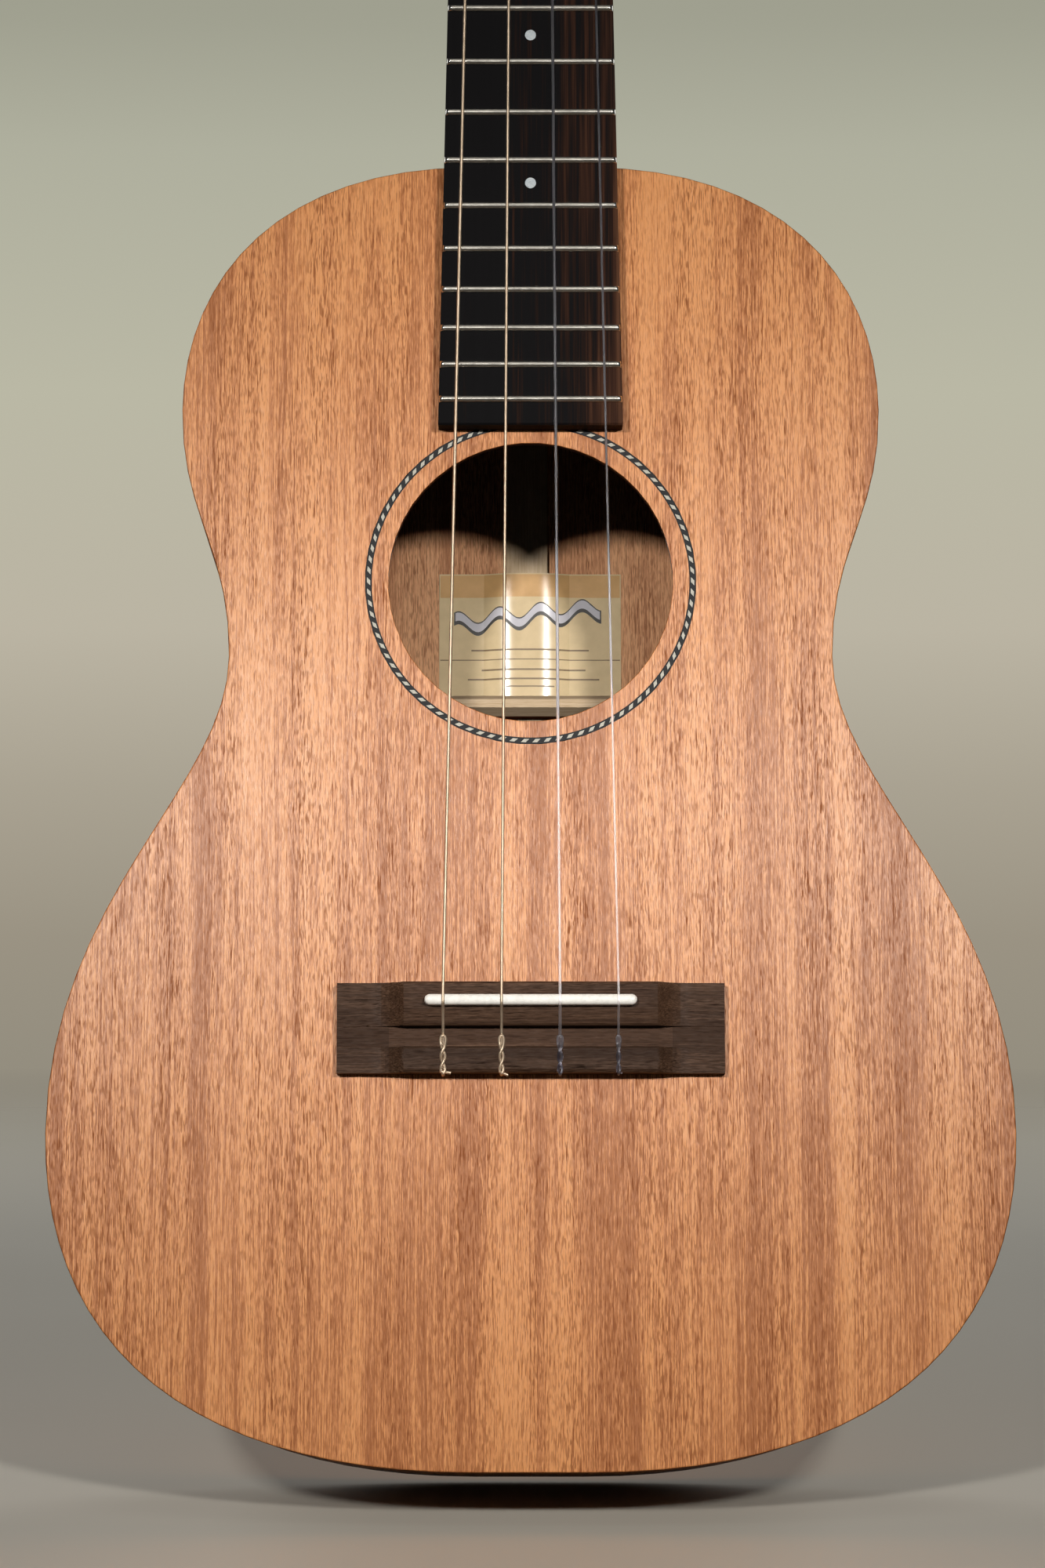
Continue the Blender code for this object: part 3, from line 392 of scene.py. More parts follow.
def clear_nylon():
    """Clear and faintly violet, with painted light along it: a painted highlight over the pale wood, and
    painted shade over the bridge and fretboard.
    """
    made, tree, shader = new_material("clear_nylon")
    spots = noise(tree, scaled_coords(tree, (300, 300, 60)), detail=2.0)
    clear = ramp(tree, spots, (0.3, (0.90, 0.86, 0.89)), (0.7, (0.97, 0.94, 0.96)))
    # Heights are scaled so that all the ramps' stops fall between 0 and 1
    steep, start = 5.0, 0.1
    height = part_of(tree, scaled_coords(tree, (steep,) * 3, (0, 0, start)), "Z")
    tie, bridge, hole, board = (steep * z * MM + start for z in (-14, -4, 108, 124))
    # Painted shade and painted highlight for the string's colour along its height
    painted_dim, painted_bright, dark = (0.16, 0.15, 0.19), (1.0, 1.0, 1.0), (0.08, 0.08, 0.09)
    painted_light_band = ramp(tree, height, (tie, painted_dim), (bridge, painted_bright), (hole, painted_bright), (board, dark))
    link(tree, mix_colours(tree, "MULTIPLY", 1.0, clear, painted_light_band), shader.inputs["Base Color"])
    # Painted glints: the shine is also set by height, full over the pale wood and none over the fretboard
    level = ramp(tree, height, (tie, 0.5), (bridge, 1.0), (hole, 1.0), (board, 0.0))
    link(tree, level, shader.inputs["Specular IOR Level"])
    link(tree, total(tree, signed(tree, spots, 0.06), 0.30), shader.inputs["Roughness"])
    settle(shader, Transmission_Weight=0.95, IOR=1.53)
    return made


def pearl():
    made, tree, shader = new_material("pearl")
    folds = noise(tree, scaled_coords(tree, (900, 900, 700)), detail=2.0, distortion=1.5)
    blue, pale, grey, white = (0.50, 0.58, 0.63), (0.80, 0.84, 0.84), (0.60, 0.70, 0.76), (0.92, 0.92, 0.88)
    colours = ramp(tree, folds, (0.3, blue), (0.45, pale), (0.55, grey), (0.7, white))
    link(tree, colours, shader.inputs["Base Color"])
    settle(shader, Metallic=0.25, Roughness=0.18)
    return made


MATERIALS = {
    "top": mahogany_top(),
    "sides": mahogany_sides(),
    "neck": mahogany_neck(),
    "inside": mahogany_inside(),
    "spruce": spruce(),
    "spruce_long": spruce("Z"),
    "rosewood": rosewood(),
    # Lit and shaded copies of the bridge's rosewood: painted light and painted shade
    "rosewood_channel": rosewood("rosewood_channel", painted_brightness=1.4),
    "rosewood_block": rosewood("rosewood_block", painted_brightness=0.78),
    "rosewood_up": rosewood("rosewood_headstock", "Z", (1.1, 0.3, 0.2)),
    "fretboard": fretboard_wood(),
    "bone": plain("bone", (0.93, 0.91, 0.84), 0.28, speck=0.05, scale=700, bump_mm=0.01),
    "nickel": plain("nickel", (0.88, 0.84, 0.74), 0.24, 1.0, speck=0.04, scale=500, bump_mm=0.004),
    "plated": plain("nickel_plate", (0.66, 0.64, 0.60), 0.22, 1.0, speck=0.06, scale=350, bump_mm=0.006),
    "brass": plain("brass", (0.62, 0.44, 0.17), 0.3, 1.0, speck=0.1, scale=600, bump_mm=0.01),
    "steel": plain("steel", (0.50, 0.50, 0.50), 0.3, 1.0, speck=0.08, scale=900, bump_mm=0.008),
    "wound": wound_metal(),
    "nylon": clear_nylon(),
    "pearl": pearl(),
    "slate": inlay("rosette_slate", (0.024, 0.031, 0.035), 0.2),
    "black_line": inlay("rosette_black", (0.010, 0.011, 0.012), 0.15),
    "cream": plain("rosette_cream", (0.46, 0.44, 0.36), 0.42, speck=0.08, scale=1800),
    "paper": paper("label_paper", (0.78, 0.60, 0.34), 0.05),
    "paper_band": paper("label_band", (0.72, 0.43, 0.18), 0.06),
    "paper_pale": paper("label_pale", (0.66, 0.64, 0.68), 0.04),
    "ink": plain("label_ink", (0.035, 0.03, 0.025), 0.4, speck=0.1, scale=900),
    "ink_brown": plain("label_ink_brown", (0.22, 0.14, 0.06), 0.4, speck=0.1, scale=900),
    "button": plain(
        "button_black", (0.012, 0.012, 0.013), 0.2, speck=0.2, scale=500, bump_mm=0.004, Coat_Weight=0.4
    ),
    "dot": plain("side_dot_white", (0.75, 0.74, 0.70), 0.35, speck=0.05, scale=900),
}


# ---- mesh helpers


def paint(obj, *names):
    obj.data.materials.clear()
    for name in names:
        obj.data.materials.append(MATERIALS[name])


def placed(name, data):
    obj = bpy.data.objects.new(name, data)
    bpy.context.scene.collection.objects.link(obj)
    return obj


def piece(name, mesh, *names, body="instrument", smooth=True, sharp=35.0):
    """A new object that rides on a body. The mesh is already in the model's frame."""
    obj = placed(name, mesh)
    paint(obj, *names)
    if smooth:
        mesh.shade_smooth()
        mesh.set_sharp_from_angle(angle=math.radians(sharp))
    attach(obj, body)
    return obj


def mesh_of(name, points, faces):
    mesh = bpy.data.meshes.new(name)
    mesh.from_pydata([tuple(p) for p in points], [], faces)
    tidy = bmesh.new()
    tidy.from_mesh(mesh)
    bmesh.ops.recalc_face_normals(tidy, faces=tidy.faces)
    tidy.to_mesh(mesh)
    tidy.free()
    return mesh


def lofted(name, *solids, closed=False):
    """A mesh of solids, each given by its rings. With closed, the last ring of each joins the first."""
    points, faces = [], []
    for rings in solids:
        start, count = len(points), len(rings[0])
        points += [p for ring in rings for p in ring]
        spans = len(rings) if closed else len(rings) - 1
        for k in range(spans):
            a, b = start + k * count, start + ((k + 1) % len(rings)) * count
            for i in range(count):
                j = (i + 1) % count
                faces.append([a + i, a + j, b + j, b + i])
        if not closed:
            faces.append([start + i for i in range(count)])
            faces.append([start + (len(rings) - 1) * count + i for i in range(count)])
    return mesh_of(name, points, faces)


def turns(sides):
    """The cosine and sine of each step round a circle."""
    angles = [2 * math.pi * k / sides for k in range(sides)]
    return [(math.cos(a), math.sin(a)) for a in angles]


def tube(path, radius, sides=10):
    """The rings of a round tube along a path of points, in metres."""
    line = [Vector(p) for p in path]
    tangent = (line[1] - line[0]).normalized()
    across = tangent.orthogonal().normalized()
    rings = []
    for i, point in enumerate(line):
        before = (point - line[i - 1]).normalized() if i else tangent
        after = (line[i + 1] - point).normalized() if i + 1 < len(line) else before
        fresh = (before + after).normalized()
        across = (tangent.rotation_difference(fresh) @ across).normalized()
        tangent = fresh
        other = tangent.cross(across)
        rings.append([point + radius * (c * across + s * other) for c, s in turns(sides)])
    return rings


def smooth_path(path, steps):
    """Catmull-Rom points through a coarse path."""
    line = [Vector(p) for p in path]
    line = [line[0] * 2 - line[1]] + line + [line[-1] * 2 - line[-2]]
    found = []
    for i in range(1, len(line) - 2):
        a, b, c, d = line[i - 1 : i + 3]
        straight, curved, cubic = c - a, 2 * a - 5 * b + 4 * c - d, 3 * b - a - 3 * c + d
        for k in range(steps):
            t = k / steps
            found.append(0.5 * (2 * b + straight * t + curved * t * t + cubic * t**3))
    return found + [line[-2]]


def refined(node_name, *names, bevel=0.0, choose=None, angle=30.0, segments=3, reshape=None):
    """A copy of a CAD node with its edges rounded, which stands for the node."""
    source = NODES[node_name]
    mesh = source.data.copy()
    shape = bmesh.new()
    shape.from_mesh(mesh)
    bmesh.ops.remove_doubles(shape, verts=shape.verts, dist=0.5e-6)
    bmesh.ops.dissolve_limit(shape, angle_limit=math.radians(0.3), verts=shape.verts, edges=shape.edges)
    if reshape:
        reshape(shape)
    layers = shape.edges.layers.float
    weights = layers.get("bevel_weight_edge") or layers.new("bevel_weight_edge")
    for edge in shape.edges:
        weight = 0.0
        if len(edge.link_faces) == 2 and edge.calc_face_angle(0.0) > math.radians(angle):
            middle = (edge.verts[0].co + edge.verts[1].co) / 2
            weight = 1.0 if choose is None else float(choose(middle, edge))
        edge[weights] = weight
    shape.to_mesh(mesh)
    shape.free()
    for name in ("custom_normal", "UVMap"):
        attribute = mesh.attributes.get(name)
        if attribute:
            mesh.attributes.remove(attribute)
    obj = piece(node_name + "_finished", mesh, *names, body=source["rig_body"], sharp=40.0)
    if bevel:
        rounding = obj.modifiers.new("rounding", "BEVEL")
        rounding.width = bevel
        rounding.segments = segments
        rounding.limit_method = "WEIGHT"
        rounding.harden_normals = False
        even = obj.modifiers.new("even_normals", "WEIGHTED_NORMAL")
        even.keep_sharp = True
    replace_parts(obj, node_name)
    return obj


# ---- body


def from_hole(point):
    return math.hypot(point.x, point.z - HOLE_Z)


def level_edge(edge):
    """Whether an edge lies in a plane of constant Y, as the plates' outlines do."""
    return abs(edge.verts[0].co.y - edge.verts[1].co.y) < 0.01 * MM


def paint_inside(obj, facing):
    """Gives the faces that look along facing the second of the object's materials."""
    for face in obj.data.polygons:
        if face.normal.dot(Vector(facing)) > 0.7:
            face.material_index = 1


def finish_body():
    def top_edges(middle, edge):
        beyond = from_hole(middle) - RING_OUTER
        in_rosette = abs(beyond) < RING_WIDE + 0.3 * MM
        if in_rosette or not level_edge(edge) or middle.y > FACE_Y + 0.01 * MM:
            return 0.0
        return 0.5 if beyond < 0 else 1.0

    def back_edges(middle, edge):
        return 1.0 if level_edge(edge) and middle.y > -0.01 * MM else 0.0

    top = refined("soundboard", "top", "inside", bevel=2.1 * MM, choose=top_edges, segments=6)
    paint_inside(top, (0, 1, 0))
    back = refined("back_plate", "top", "inside", bevel=2.1 * MM, choose=back_edges, segments=6)
    paint_inside(back, (0, -1, 0))
    for name in ("rib_bass", "rib_treble"):
        rib = NODES[name]
        paint(rib, "sides", "inside")
        for face in rib.data.polygons:
            outward = Vector((face.center.x, 0, face.center.z - 20 * MM))
            face.material_index = 0 if face.normal.dot(outward) > 0 else 1
        rib.data.shade_smooth()
        rib.data.set_sharp_from_angle(angle=math.radians(35))
    for name in ("neck_block", "tail_block"):
        paint(NODES[name], "neck")
    for name in NODES:
        if "lining" in name or name == "back_centre_strip" or "fan" in name:
            paint(NODES[name], "spruce_long")
        elif "brace" in name:
            paint(NODES[name], "spruce")


def ring_mesh(name, bands, y0, y1, sides=176):
    """Concentric flat rings as one closed solid, each band with its own material index."""
    points, faces, slots = [], [], []
    radii = [bands[0][0]] + [outer for _, outer, _ in bands]
    for y in (y0, y1):
        for radius in radii:
            points += [(radius * c, y, HOLE_Z + radius * s) for c, s in turns(sides)]
    many = len(radii)

    def at(layer, ring, i):
        return (layer * many + ring) * sides + i % sides

    for i in range(sides):
        for k, (_, _, slot) in enumerate(bands):
            corners = ((k, i), (k, i + 1), (k + 1, i + 1), (k + 1, i))
            for layer in (0, 1):
                faces.append([at(layer, *corner) for corner in corners])
                slots.append(slot)
        for k in (0, many - 1):
            faces.append([at(0, k, i), at(0, k, i + 1), at(1, k, i + 1), at(1, k, i)])
            slots.append(0)
    mesh = mesh_of(name, points, faces)
    mesh.polygons.foreach_set("material_index", slots)
    return mesh


def make_rosette():
    """A slate ring between two black lines, inlaid with slanted cream dashes."""
    outer, inner = RING_OUTER, RING_OUTER - RING_WIDE
    line = 0.28 * MM
    bands = ((inner, inner + line, 0), (inner + line, outer - line, 1), (outer - line, outer, 0))
    mesh = ring_mesh("rosette_ring", bands, FACE_Y, FACE_Y + 1.1 * MM)
    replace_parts(piece("rosette_ring", mesh, "black_line", "slate"), "rosette")
    count, wide, slant, margin = 90, 1.35 * MM, 0.45 * MM, 0.42 * MM
    proud, deep = 0.015 * MM, 0.3 * MM
    dashes = []
    for k in range(count):
        middle = 2 * math.pi * k / count
        corners = []
        for radius, shift, ends in ((inner + margin, slant, (-1, 1)), (outer - margin, -slant, (1, -1))):
            for end in ends:
                corners.append((radius, middle + (shift + end * wide / 2) / radius))
        rings = []
        for y in (FACE_Y - proud, FACE_Y + deep):
            rings.append([Vector((r * math.cos(a), y, HOLE_Z + r * math.sin(a))) for r, a in corners])
        dashes.append(rings)
    piece("rosette_dashes", lofted("rosette_dashes", *dashes), "cream", smooth=False)


# The label lies flat on the centre strip, bends down from a little inside its edges and lands on the back
BEND_START, BEND_WIDE, BEND_FALL = -3.0 * MM, 5.6 * MM, 0.84 * MM
PAPER_RISE = STRIP_HIGH.y - STRIP_LOW.y + 0.17 * MM
BEND_SLOPE = 2 * BEND_FALL / BEND_WIDE
LANDING = BEND_WIDE + (PAPER_RISE - BEND_FALL) / BEND_SLOPE


def paper_stand(x):
    """How far the label stands off the back."""
    beyond = max(STRIP_LOW.x - x, x - STRIP_HIGH.x) - BEND_START
    if beyond < 0:
        drop = 0.0
    elif beyond < BEND_WIDE:
        drop = BEND_FALL * (beyond / BEND_WIDE) ** 2
    else:
        drop = BEND_FALL + BEND_SLOPE * (beyond - BEND_WIDE)
    return 0.1 * MM + max(0.0, PAPER_RISE - drop)


def sheet(name, material, left, right, low, high, lift, thick):
    """A thin closed sheet that follows the label's bend. Low and high give its edges' heights at x."""
    marks = [left, right]
    for edge, outward in ((STRIP_LOW.x, -1), (STRIP_HIGH.x, 1)):
        marks += [edge + outward * (BEND_START + step) for step in (0, BEND_WIDE, LANDING)]
    span = int((right - left) / (0.6 * MM)) + 1
    marks += [left + (right - left) * k / span for k in range(span + 1)]
    columns = []
    for x in sorted(marks):
        if left <= x <= right and (not columns or x - columns[-1] > 0.05 * MM):
            columns.append(x)
    rings = []
    for x in columns:
        under = BACK_INNER - paper_stand(x) - lift
        over = under - thick
        corners = ((under, low(x)), (under, high(x)), (over, high(x)), (over, low(x)))
        rings.append([Vector((x, y, z)) for y, z in corners])
    piece(name, lofted(name, rings), material, sharp=9)


def make_label():
    """A paper label with plain printed bands and rules, glued inside the back over the centre strip."""
    half, low, tall = 26.3 * MM, BRACE_TOP + 0.4 * MM, 36.5 * MM

    def straight(share):
        return lambda x: low + share * tall

    sheet("label_paper", "paper", -half, half, straight(0.0), straight(1.0), 0.0, 0.09 * MM)
    edge = half - 0.3 * MM
    sheet("label_band", "paper_band", -edge, edge, straight(0.81), straight(0.99), 0.095 * MM, 0.02 * MM)

    def wave(offset):
        """One edge of a plain wavy band that climbs across the label's upper half."""
        return lambda x: low + 0.66 * tall + 0.10 * x + 2.0 * MM * math.sin(x / (1.9 * MM)) + offset * MM

    sheet("label_wave_edge", "ink", -22.0 * MM, 20.6 * MM, wave(-2.3), wave(1.6), 0.12 * MM, 0.02 * MM)
    sheet("label_wave", "paper_pale", -21.6 * MM, 20.2 * MM, wave(-1.2), wave(1.2), 0.145 * MM, 0.02 * MM)
    rules = (
        (0.375, -17, 17, 0.5), (0.30, -26, 26, 0.3), (0.215, -14, 16, 0.5),
        (0.14, -18, 20, 0.5), (0.08, -7, 7, 0.4),
    )
    for number, (share, left, right, thick) in enumerate(rules):
        name, top = f"label_rule_{number}", share + thick * MM / tall
        sheet(name, "ink_brown", left * MM, right * MM, straight(share), straight(top), 0.095 * MM, 0.02 * MM)


# ---- neck, fretboard, frets and nut


def half_board(z):
    share = (BOARD_HIGH.z - z) / (BOARD_HIGH.z - BOARD_LOW.z)
    nut_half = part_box("nut")[1].x
    return nut_half + share * (BOARD_HIGH.x - nut_half)


def finish_neck():
    def head_edges(middle, edge):
        return 1.0 if middle.z > BOARD_HIGH.z + 8 * MM else 0.0

    refined("neck", "neck", bevel=0.8 * MM, choose=head_edges, angle=50, segments=3)

    def board_edges(middle, edge):
        upright = abs(edge.verts[0].co.y - edge.verts[1].co.y) > 1 * MM
        if upright and middle.z < BOARD_LOW.z + 1 * MM:
            return 1.0
        along = abs(edge.verts[0].co.z - edge.verts[1].co.z) > 2 * MM
        return 0.25 if along and middle.y < BOARD_TOP + 0.2 * MM else 0.0

    refined("fretboard", "fretboard", bevel=1.6 * MM, choose=board_edges, angle=50, segments=4)
    refined("nut", "bone", bevel=0.35 * MM, angle=40, choose=lambda middle, edge: edge.calc_length() > 3 * MM)


def make_frets():
    """Crowned wires whose ends are filed round, each standing for its CAD fret."""
    end_round, back_off, tang, steps = 1.0 * MM, 0.15 * MM, 0.24 * MM, 12
    crown = [(math.cos(math.pi * k / steps), math.sin(math.pi * k / steps)) for k in range(steps + 1)]
    stations = (1.0, 0.93, 0.8, 0.6, 0.35, 0.12, 0.0)
    ends = [(-1, share) for share in stations] + [(1, share) for share in stations[::-1]]
    for name in FRET_NAMES:
        low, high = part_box(name)
        middle, base = (low.z + high.z) / 2, BOARD_TOP - 0.05 * MM
        half_wide, tall = (high.z - low.z) / 2, base - low.y
        rings = []
        for side, share in ends:
            inward = back_off + end_round * (1 - share)
            height = math.sqrt(1 - share * share) * 0.94 + 0.06
            ring = []
            for dz, rise in crown:
                z = middle + dz * half_wide
                ring.append(Vector((side * (half_board(z) - inward), base - rise * tall * height, z)))
            x = side * (half_board(middle) - inward)
            for dz, y in ((-tang, base), (-tang, high.y), (tang, high.y), (tang, base)):
                ring.append(Vector((x, y, middle + dz)))
            rings.append(ring)
        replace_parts(piece(name + "_wire", lofted(name, rings), "nickel", sharp=50), name)


def disc(centre, radius, normal, thick, sides=28, dome=0.0):
    """The rings of a thin disc whose face looks along normal."""
    n = Vector(normal).normalized()
    u = n.orthogonal().normalized()
    v = n.cross(u)
    rings = []
    for share, lift in ((1.0, -thick), (1.0, 0.0), (0.6, dome * 0.7), (0.15, dome)):
        middle = centre + n * lift
        rings.append([middle + radius * share * (c * u + s * v) for c, s in turns(sides)])
    return rings


def make_dots():
    """Pearl dots in the fretboard's face, and small white dots along its bass edge."""
    line = [(low.z + high.z) / 2 for low, high in map(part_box, FRET_NAMES)]
    dots, side_dots = [], []
    for fret in (5, 7, 10, 12, 15):
        z = (line[fret - 1] + line[fret - 2]) / 2
        in_face = Vector((0, BOARD_TOP - 0.01 * MM, z))
        in_edge = Vector((-half_board(z) - 0.01 * MM, BOARD_TOP + 3.0 * MM, z))
        dots.append(disc(in_face, 1.5 * MM, (0, -1, 0), 0.4 * MM, dome=0.01 * MM))
        side_dots.append(disc(in_edge, 1.0 * MM, (-1, 0, 0), 0.4 * MM, sides=16))
    piece("position_dots", lofted("position_dots", *dots), "pearl", sharp=50)
    piece("side_dots", lofted("side_dots", *side_dots), "dot", sharp=50)


# ---- bridge and saddle


def stadium(half_long, half_thick, ends):
    """A flat outline with half-round ends, as (x, z) pairs."""
    points, straight = [], half_long - half_thick
    for side, start in ((1, -90), (-1, 90)):
        for i in range(ends + 1):
            a = math.radians(start + 180 * i / ends)
            points.append((side * straight + half_thick * math.cos(a), half_thick * math.sin(a)))
    return points


def cove(shape):
    """Hollows the bridge's straight ramps into coves that run out level on the wings."""
    steps = 8
    for side in (-1, 1):
        for k in range(1, steps):
            cut = Vector((side * (RAMP_START + RAMP_WIDE * k / steps), 0, 0))
            everything = shape.verts[:] + shape.edges[:] + shape.faces[:]
            bmesh.ops.bisect_plane(shape, geom=everything, plane_co=cut, plane_no=(1, 0, 0), dist=1e-7)
    for vertex in shape.verts:
        share = (abs(vertex.co.x) - RAMP_START) / RAMP_WIDE
        above = FACE_Y - vertex.co.y - WING_TALL
        if 0.01 < share < 0.99 and above > 0:
            vertex.co.y = FACE_Y - WING_TALL - above * (1 - share) ** 0.6


def finish_bridge():
    def long_edges(middle, edge):
        on_ramp = 0.03 < (abs(middle.x) - RAMP_START) / RAMP_WIDE < 0.97
        return float(edge.calc_length() > 1.0 * MM and middle.y < FACE_Y - 0.5 * MM and not on_ramp)

    tones = ("rosewood", "rosewood_channel", "rosewood_block")
    bridge = refined("bridge", *tones, bevel=0.3 * MM, angle=24, segments=2, choose=long_edges, reshape=cove)
    for face in bridge.data.polygons:
        height = FACE_Y - face.center.y
        # The channel's floor takes the lighter copy as painted light in the recess, and the tie block the
        # darker copy as painted shade
        if face.normal.y < -0.9 and abs(height - CHANNEL_TALL) < 0.2 * MM:
            face.material_index = 1  # the channel's floor
        elif face.center.z < -12 * MM and height > WING_TALL + 0.6 * MM:
            face.material_index = 2  # the tie block
    round_off, steps = 1.25 * MM, 8
    heights = [(SADDLE_HIGH.y, 0.0)]
    for k in range(steps + 1):
        a = math.radians(90 * k / steps)
        heights.append((SADDLE_LOW.y + round_off * (1 - math.sin(a)), round_off * (1 - math.cos(a))))
    rings = []
    for y, shrink in heights:
        outline = stadium(SADDLE_HIGH.x - shrink, SADDLE_HIGH.z - shrink, 10)
        rings.append([Vector((x, y, z)) for x, z in outline])
    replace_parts(piece("saddle_blade", lofted("saddle_blade", rings), "bone", sharp=60), "saddle")


# ---- strings


def head_frame():
    """The headstock's frame, from the tuning posts' axes: y points out of its back and z up along it."""
    first, second = joint("post_4_turn"), joint("post_3_turn")
    y = Vector(first["axis"]).normalized()
    z = (Vector(second["pos_m"]) - Vector(first["pos_m"])).normalized()
    return y, z


HEAD_BACK, HEAD_UP = head_frame()


def string_layout(name):
    """Where a string crosses the nut and the saddle, and its radius, from its CAD solid."""
    points = [v.co for v in NODES[name].data.vertices]
    at_nut = [p for p in points if abs(p.z - BOARD_HIGH.z) < 0.1 * MM]
    at_saddle = [p for p in points if abs(p.z - 0.6 * MM) < 0.3 * MM]
    nut = sum(at_nut, Vector()) / len(at_nut)
    saddle = sum(at_saddle, Vector()) / len(at_saddle)
    return nut, saddle, max((p - nut).length for p in at_nut)


def coil(number, nut, radius):
    """From the nut to the post's inner side, then round the barrel and into the string hole."""
    post = Vector(joint(f"post_{number}_turn")["pos_m"])
    side = 1 if post.x > 0 else -1
    front = post - HEAD_BACK * HEAD_THICK
    barrel, height, clear = 2.5 * MM, 5.2 * MM, 0.12 * MM
    reach = barrel + radius + clear
    flat = nut - front
    across, along = flat.x, flat.dot(HEAD_UP)
    away = math.atan2(along, across) - side * math.acos(reach / math.hypot(across, along))
    steps, rounds, pitch = 28, 2.25, 2 * radius + clear
    path = []
    for k in range(int(rounds * steps) + 1):
        angle = away - side * 2 * math.pi * k / steps
        lift = height + pitch * k / steps
        outward = Vector((1, 0, 0)) * math.cos(angle) + HEAD_UP * math.sin(angle)
        path.append(front - HEAD_BACK * lift + reach * outward)
    return path


def knot(saddle, radius, tail):
    """The tie: the end comes back over the tie block, loops round the string and twists on itself."""
    x, top = saddle.x, FACE_Y - TIE_TALL - radius - 0.1 * MM
    near, far = -11.6 * MM, -18.4 * MM
    spread, count = 1.2 * radius, 26
    strands = []
    for phase in (0.0, math.pi):
        strand = []
        for k in range(count + 1):
            share = k / count
            a = phase + share * 2 * math.pi
            z = near + share * (far - near)
            strand.append(Vector((x + spread * math.cos(a), top - spread * (1 + math.sin(a)), z)))
        strands.append(strand)
    # A loop round the string joins the strands' near ends
    first, second = strands[0][0], strands[1][0]
    loop, steps = [], 12
    for k in range(1, steps):
        a = math.pi * k / steps
        bulge = math.sin(a)
        across = spread * math.cos(a) * (1 + 0.9 * bulge)
        rise = (second.y - first.y) * k / steps + bulge * 1.0 * MM
        loop.append(Vector((x + across, first.y + rise, near + bulge * 2.3 * MM)))
    strand = strands[0][::-1] + loop + strands[1]
    # The end goes down behind the tie block and into the string's tunnel
    down, back = FACE_Y - TUNNEL_TALL, -19.0 * MM - radius - 0.15 * MM
    into_hole = [
        Vector((x, down, -17.0 * MM)), Vector((x, down, back + 0.3 * MM)), Vector((x, down - 0.8 * MM, back)),
        Vector((x, top - radius * 0.4, back)), Vector((strand[0].x, top - radius, back + 0.7 * MM)),
    ]
    stub = []
    for share, sink in ((0.0, 0.0), (0.4, 0.3), (1.0, 0.5)):
        out = Vector((tail[0] * share, sink, tail[1] * share - 0.6)) * MM
        stub.append(strand[-1] + out)
    return smooth_path(into_hole, 5)[:-1] + strand + smooth_path(stub, 4)


def make_strings():
    for name, number, look, tail in zip(STRINGS, TUNERS, STRING_LOOKS, TIE_TAILS):
        nut, saddle, radius = string_layout(name)
        tunnel = [Vector((saddle.x, FACE_Y - TUNNEL_TALL, z * MM)) for z in (-17.5, -12.2)]
        over_saddle = ((1.3, -2.6), (0.12, -1.1), (0.0, 0.0), (0.0, 1.0))
        bend = [Vector((saddle.x, saddle.y + drop * MM, z * MM)) for drop, z in over_saddle]
        past_nut = nut + Vector((0, 0, 1.2 * MM))
        path = tunnel + smooth_path(bend, 4) + [saddle.lerp(nut, k / 24) for k in range(1, 24)]
        path += [nut, past_nut] + coil(number, past_nut, radius)
        mesh = lofted(name, tube(path, radius), tube(knot(saddle, radius, tail), radius, 9))
        string = piece(name + "_tied", mesh, look, sharp=70)
        string.visible_shadow = string.visible_diffuse = False
        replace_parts(string, name)


# ---- headstock and tuning machines


def local(number, u, n, w):
    """A point in a tuner's frame: u out to its button, n back from the headstock, w up along it."""
    post = Vector(joint(f"post_{number}_turn")["pos_m"])
    side = 1 if post.x > 0 else -1
    return post + Vector((side * u, 0, 0)) * MM + HEAD_BACK * n * MM + HEAD_UP * w * MM


def turned(number, profile, sides=32):
    """The rings of a solid of revolution about a post's axis, from (radius, n) pairs in millimetres."""
    return [[local(number, radius * c, n, radius * s) for c, s in turns(sides)] for radius, n in profile]


def make_bushings():
    profile = (
        (3.2, -13.2), (3.2, -15.4), (3.5, -15.7), (4.2, -15.7), (4.5, -15.4), (4.6, -14.9), (5.3, -14.9),
        (5.45, -14.7), (5.45, -14.0), (3.38, -14.0), (3.38, -13.2),
    )
    rings = [turned(number, profile) for number in TUNERS]
    piece("post_bushings", lofted("post_bushings", *rings, closed=True), "plated", sharp=35)


def screw(number, at, radius, base, tall):
    """The rings of a domed screw head with a straight slot."""
    rings = []
    for share, lift in ((1.0, 0.0), (1.0, 0.35), (0.93, 0.62), (0.75, 0.85), (0.45, 0.97), (0.12, 1.0)):
        ring = []
        for c, s in turns(20):
            u, w = radius * share * c, radius * share * s
            sunk = 0.45 * tall if abs(w) < 0.22 * radius and lift > 0.5 else 0.0
            ring.append(local(number, at[0] + u, base + tall * lift - sunk, at[1] + w))
        rings.append(ring)
    return rings


def make_screws():
    places = ((-6.3, -6.3), (6.6, -6.3), (0.2, 11.35))
    heads = [screw(number, at, radius=1.35, base=1.2, tall=0.75) for number in TUNERS for at in places]
    piece("tuner_plate_screws", lofted("tuner_plate_screws", *heads), "steel", sharp=30)
    for number in TUNERS:
        mesh = lofted("gear_screw", screw(number, (0, 0), radius=1.75, base=7.42, tall=0.8))
        piece(f"tuner_{number}_gear_screw", mesh, "steel", body=f"post_{number}", sharp=30)


def make_string_ends():
    """The end of each string that goes through its post and out on the far side."""
    bends = ((-3.1, -22.6, 0), (3.0, -22.6, 0.0), (4.2, -22.8, 0.3), (5.6, -23.4, 0.9))
    for name, number, look in zip(STRINGS, TUNERS, STRING_LOOKS):
        radius = min(string_layout(name)[2], 0.62 * MM)
        path = smooth_path([local(number, *bend) for bend in bends], 5)
        mesh = lofted("string_end", tube(path, radius, 9))
        piece(f"tuner_{number}_string_end", mesh, look, body=f"post_{number}", sharp=70)


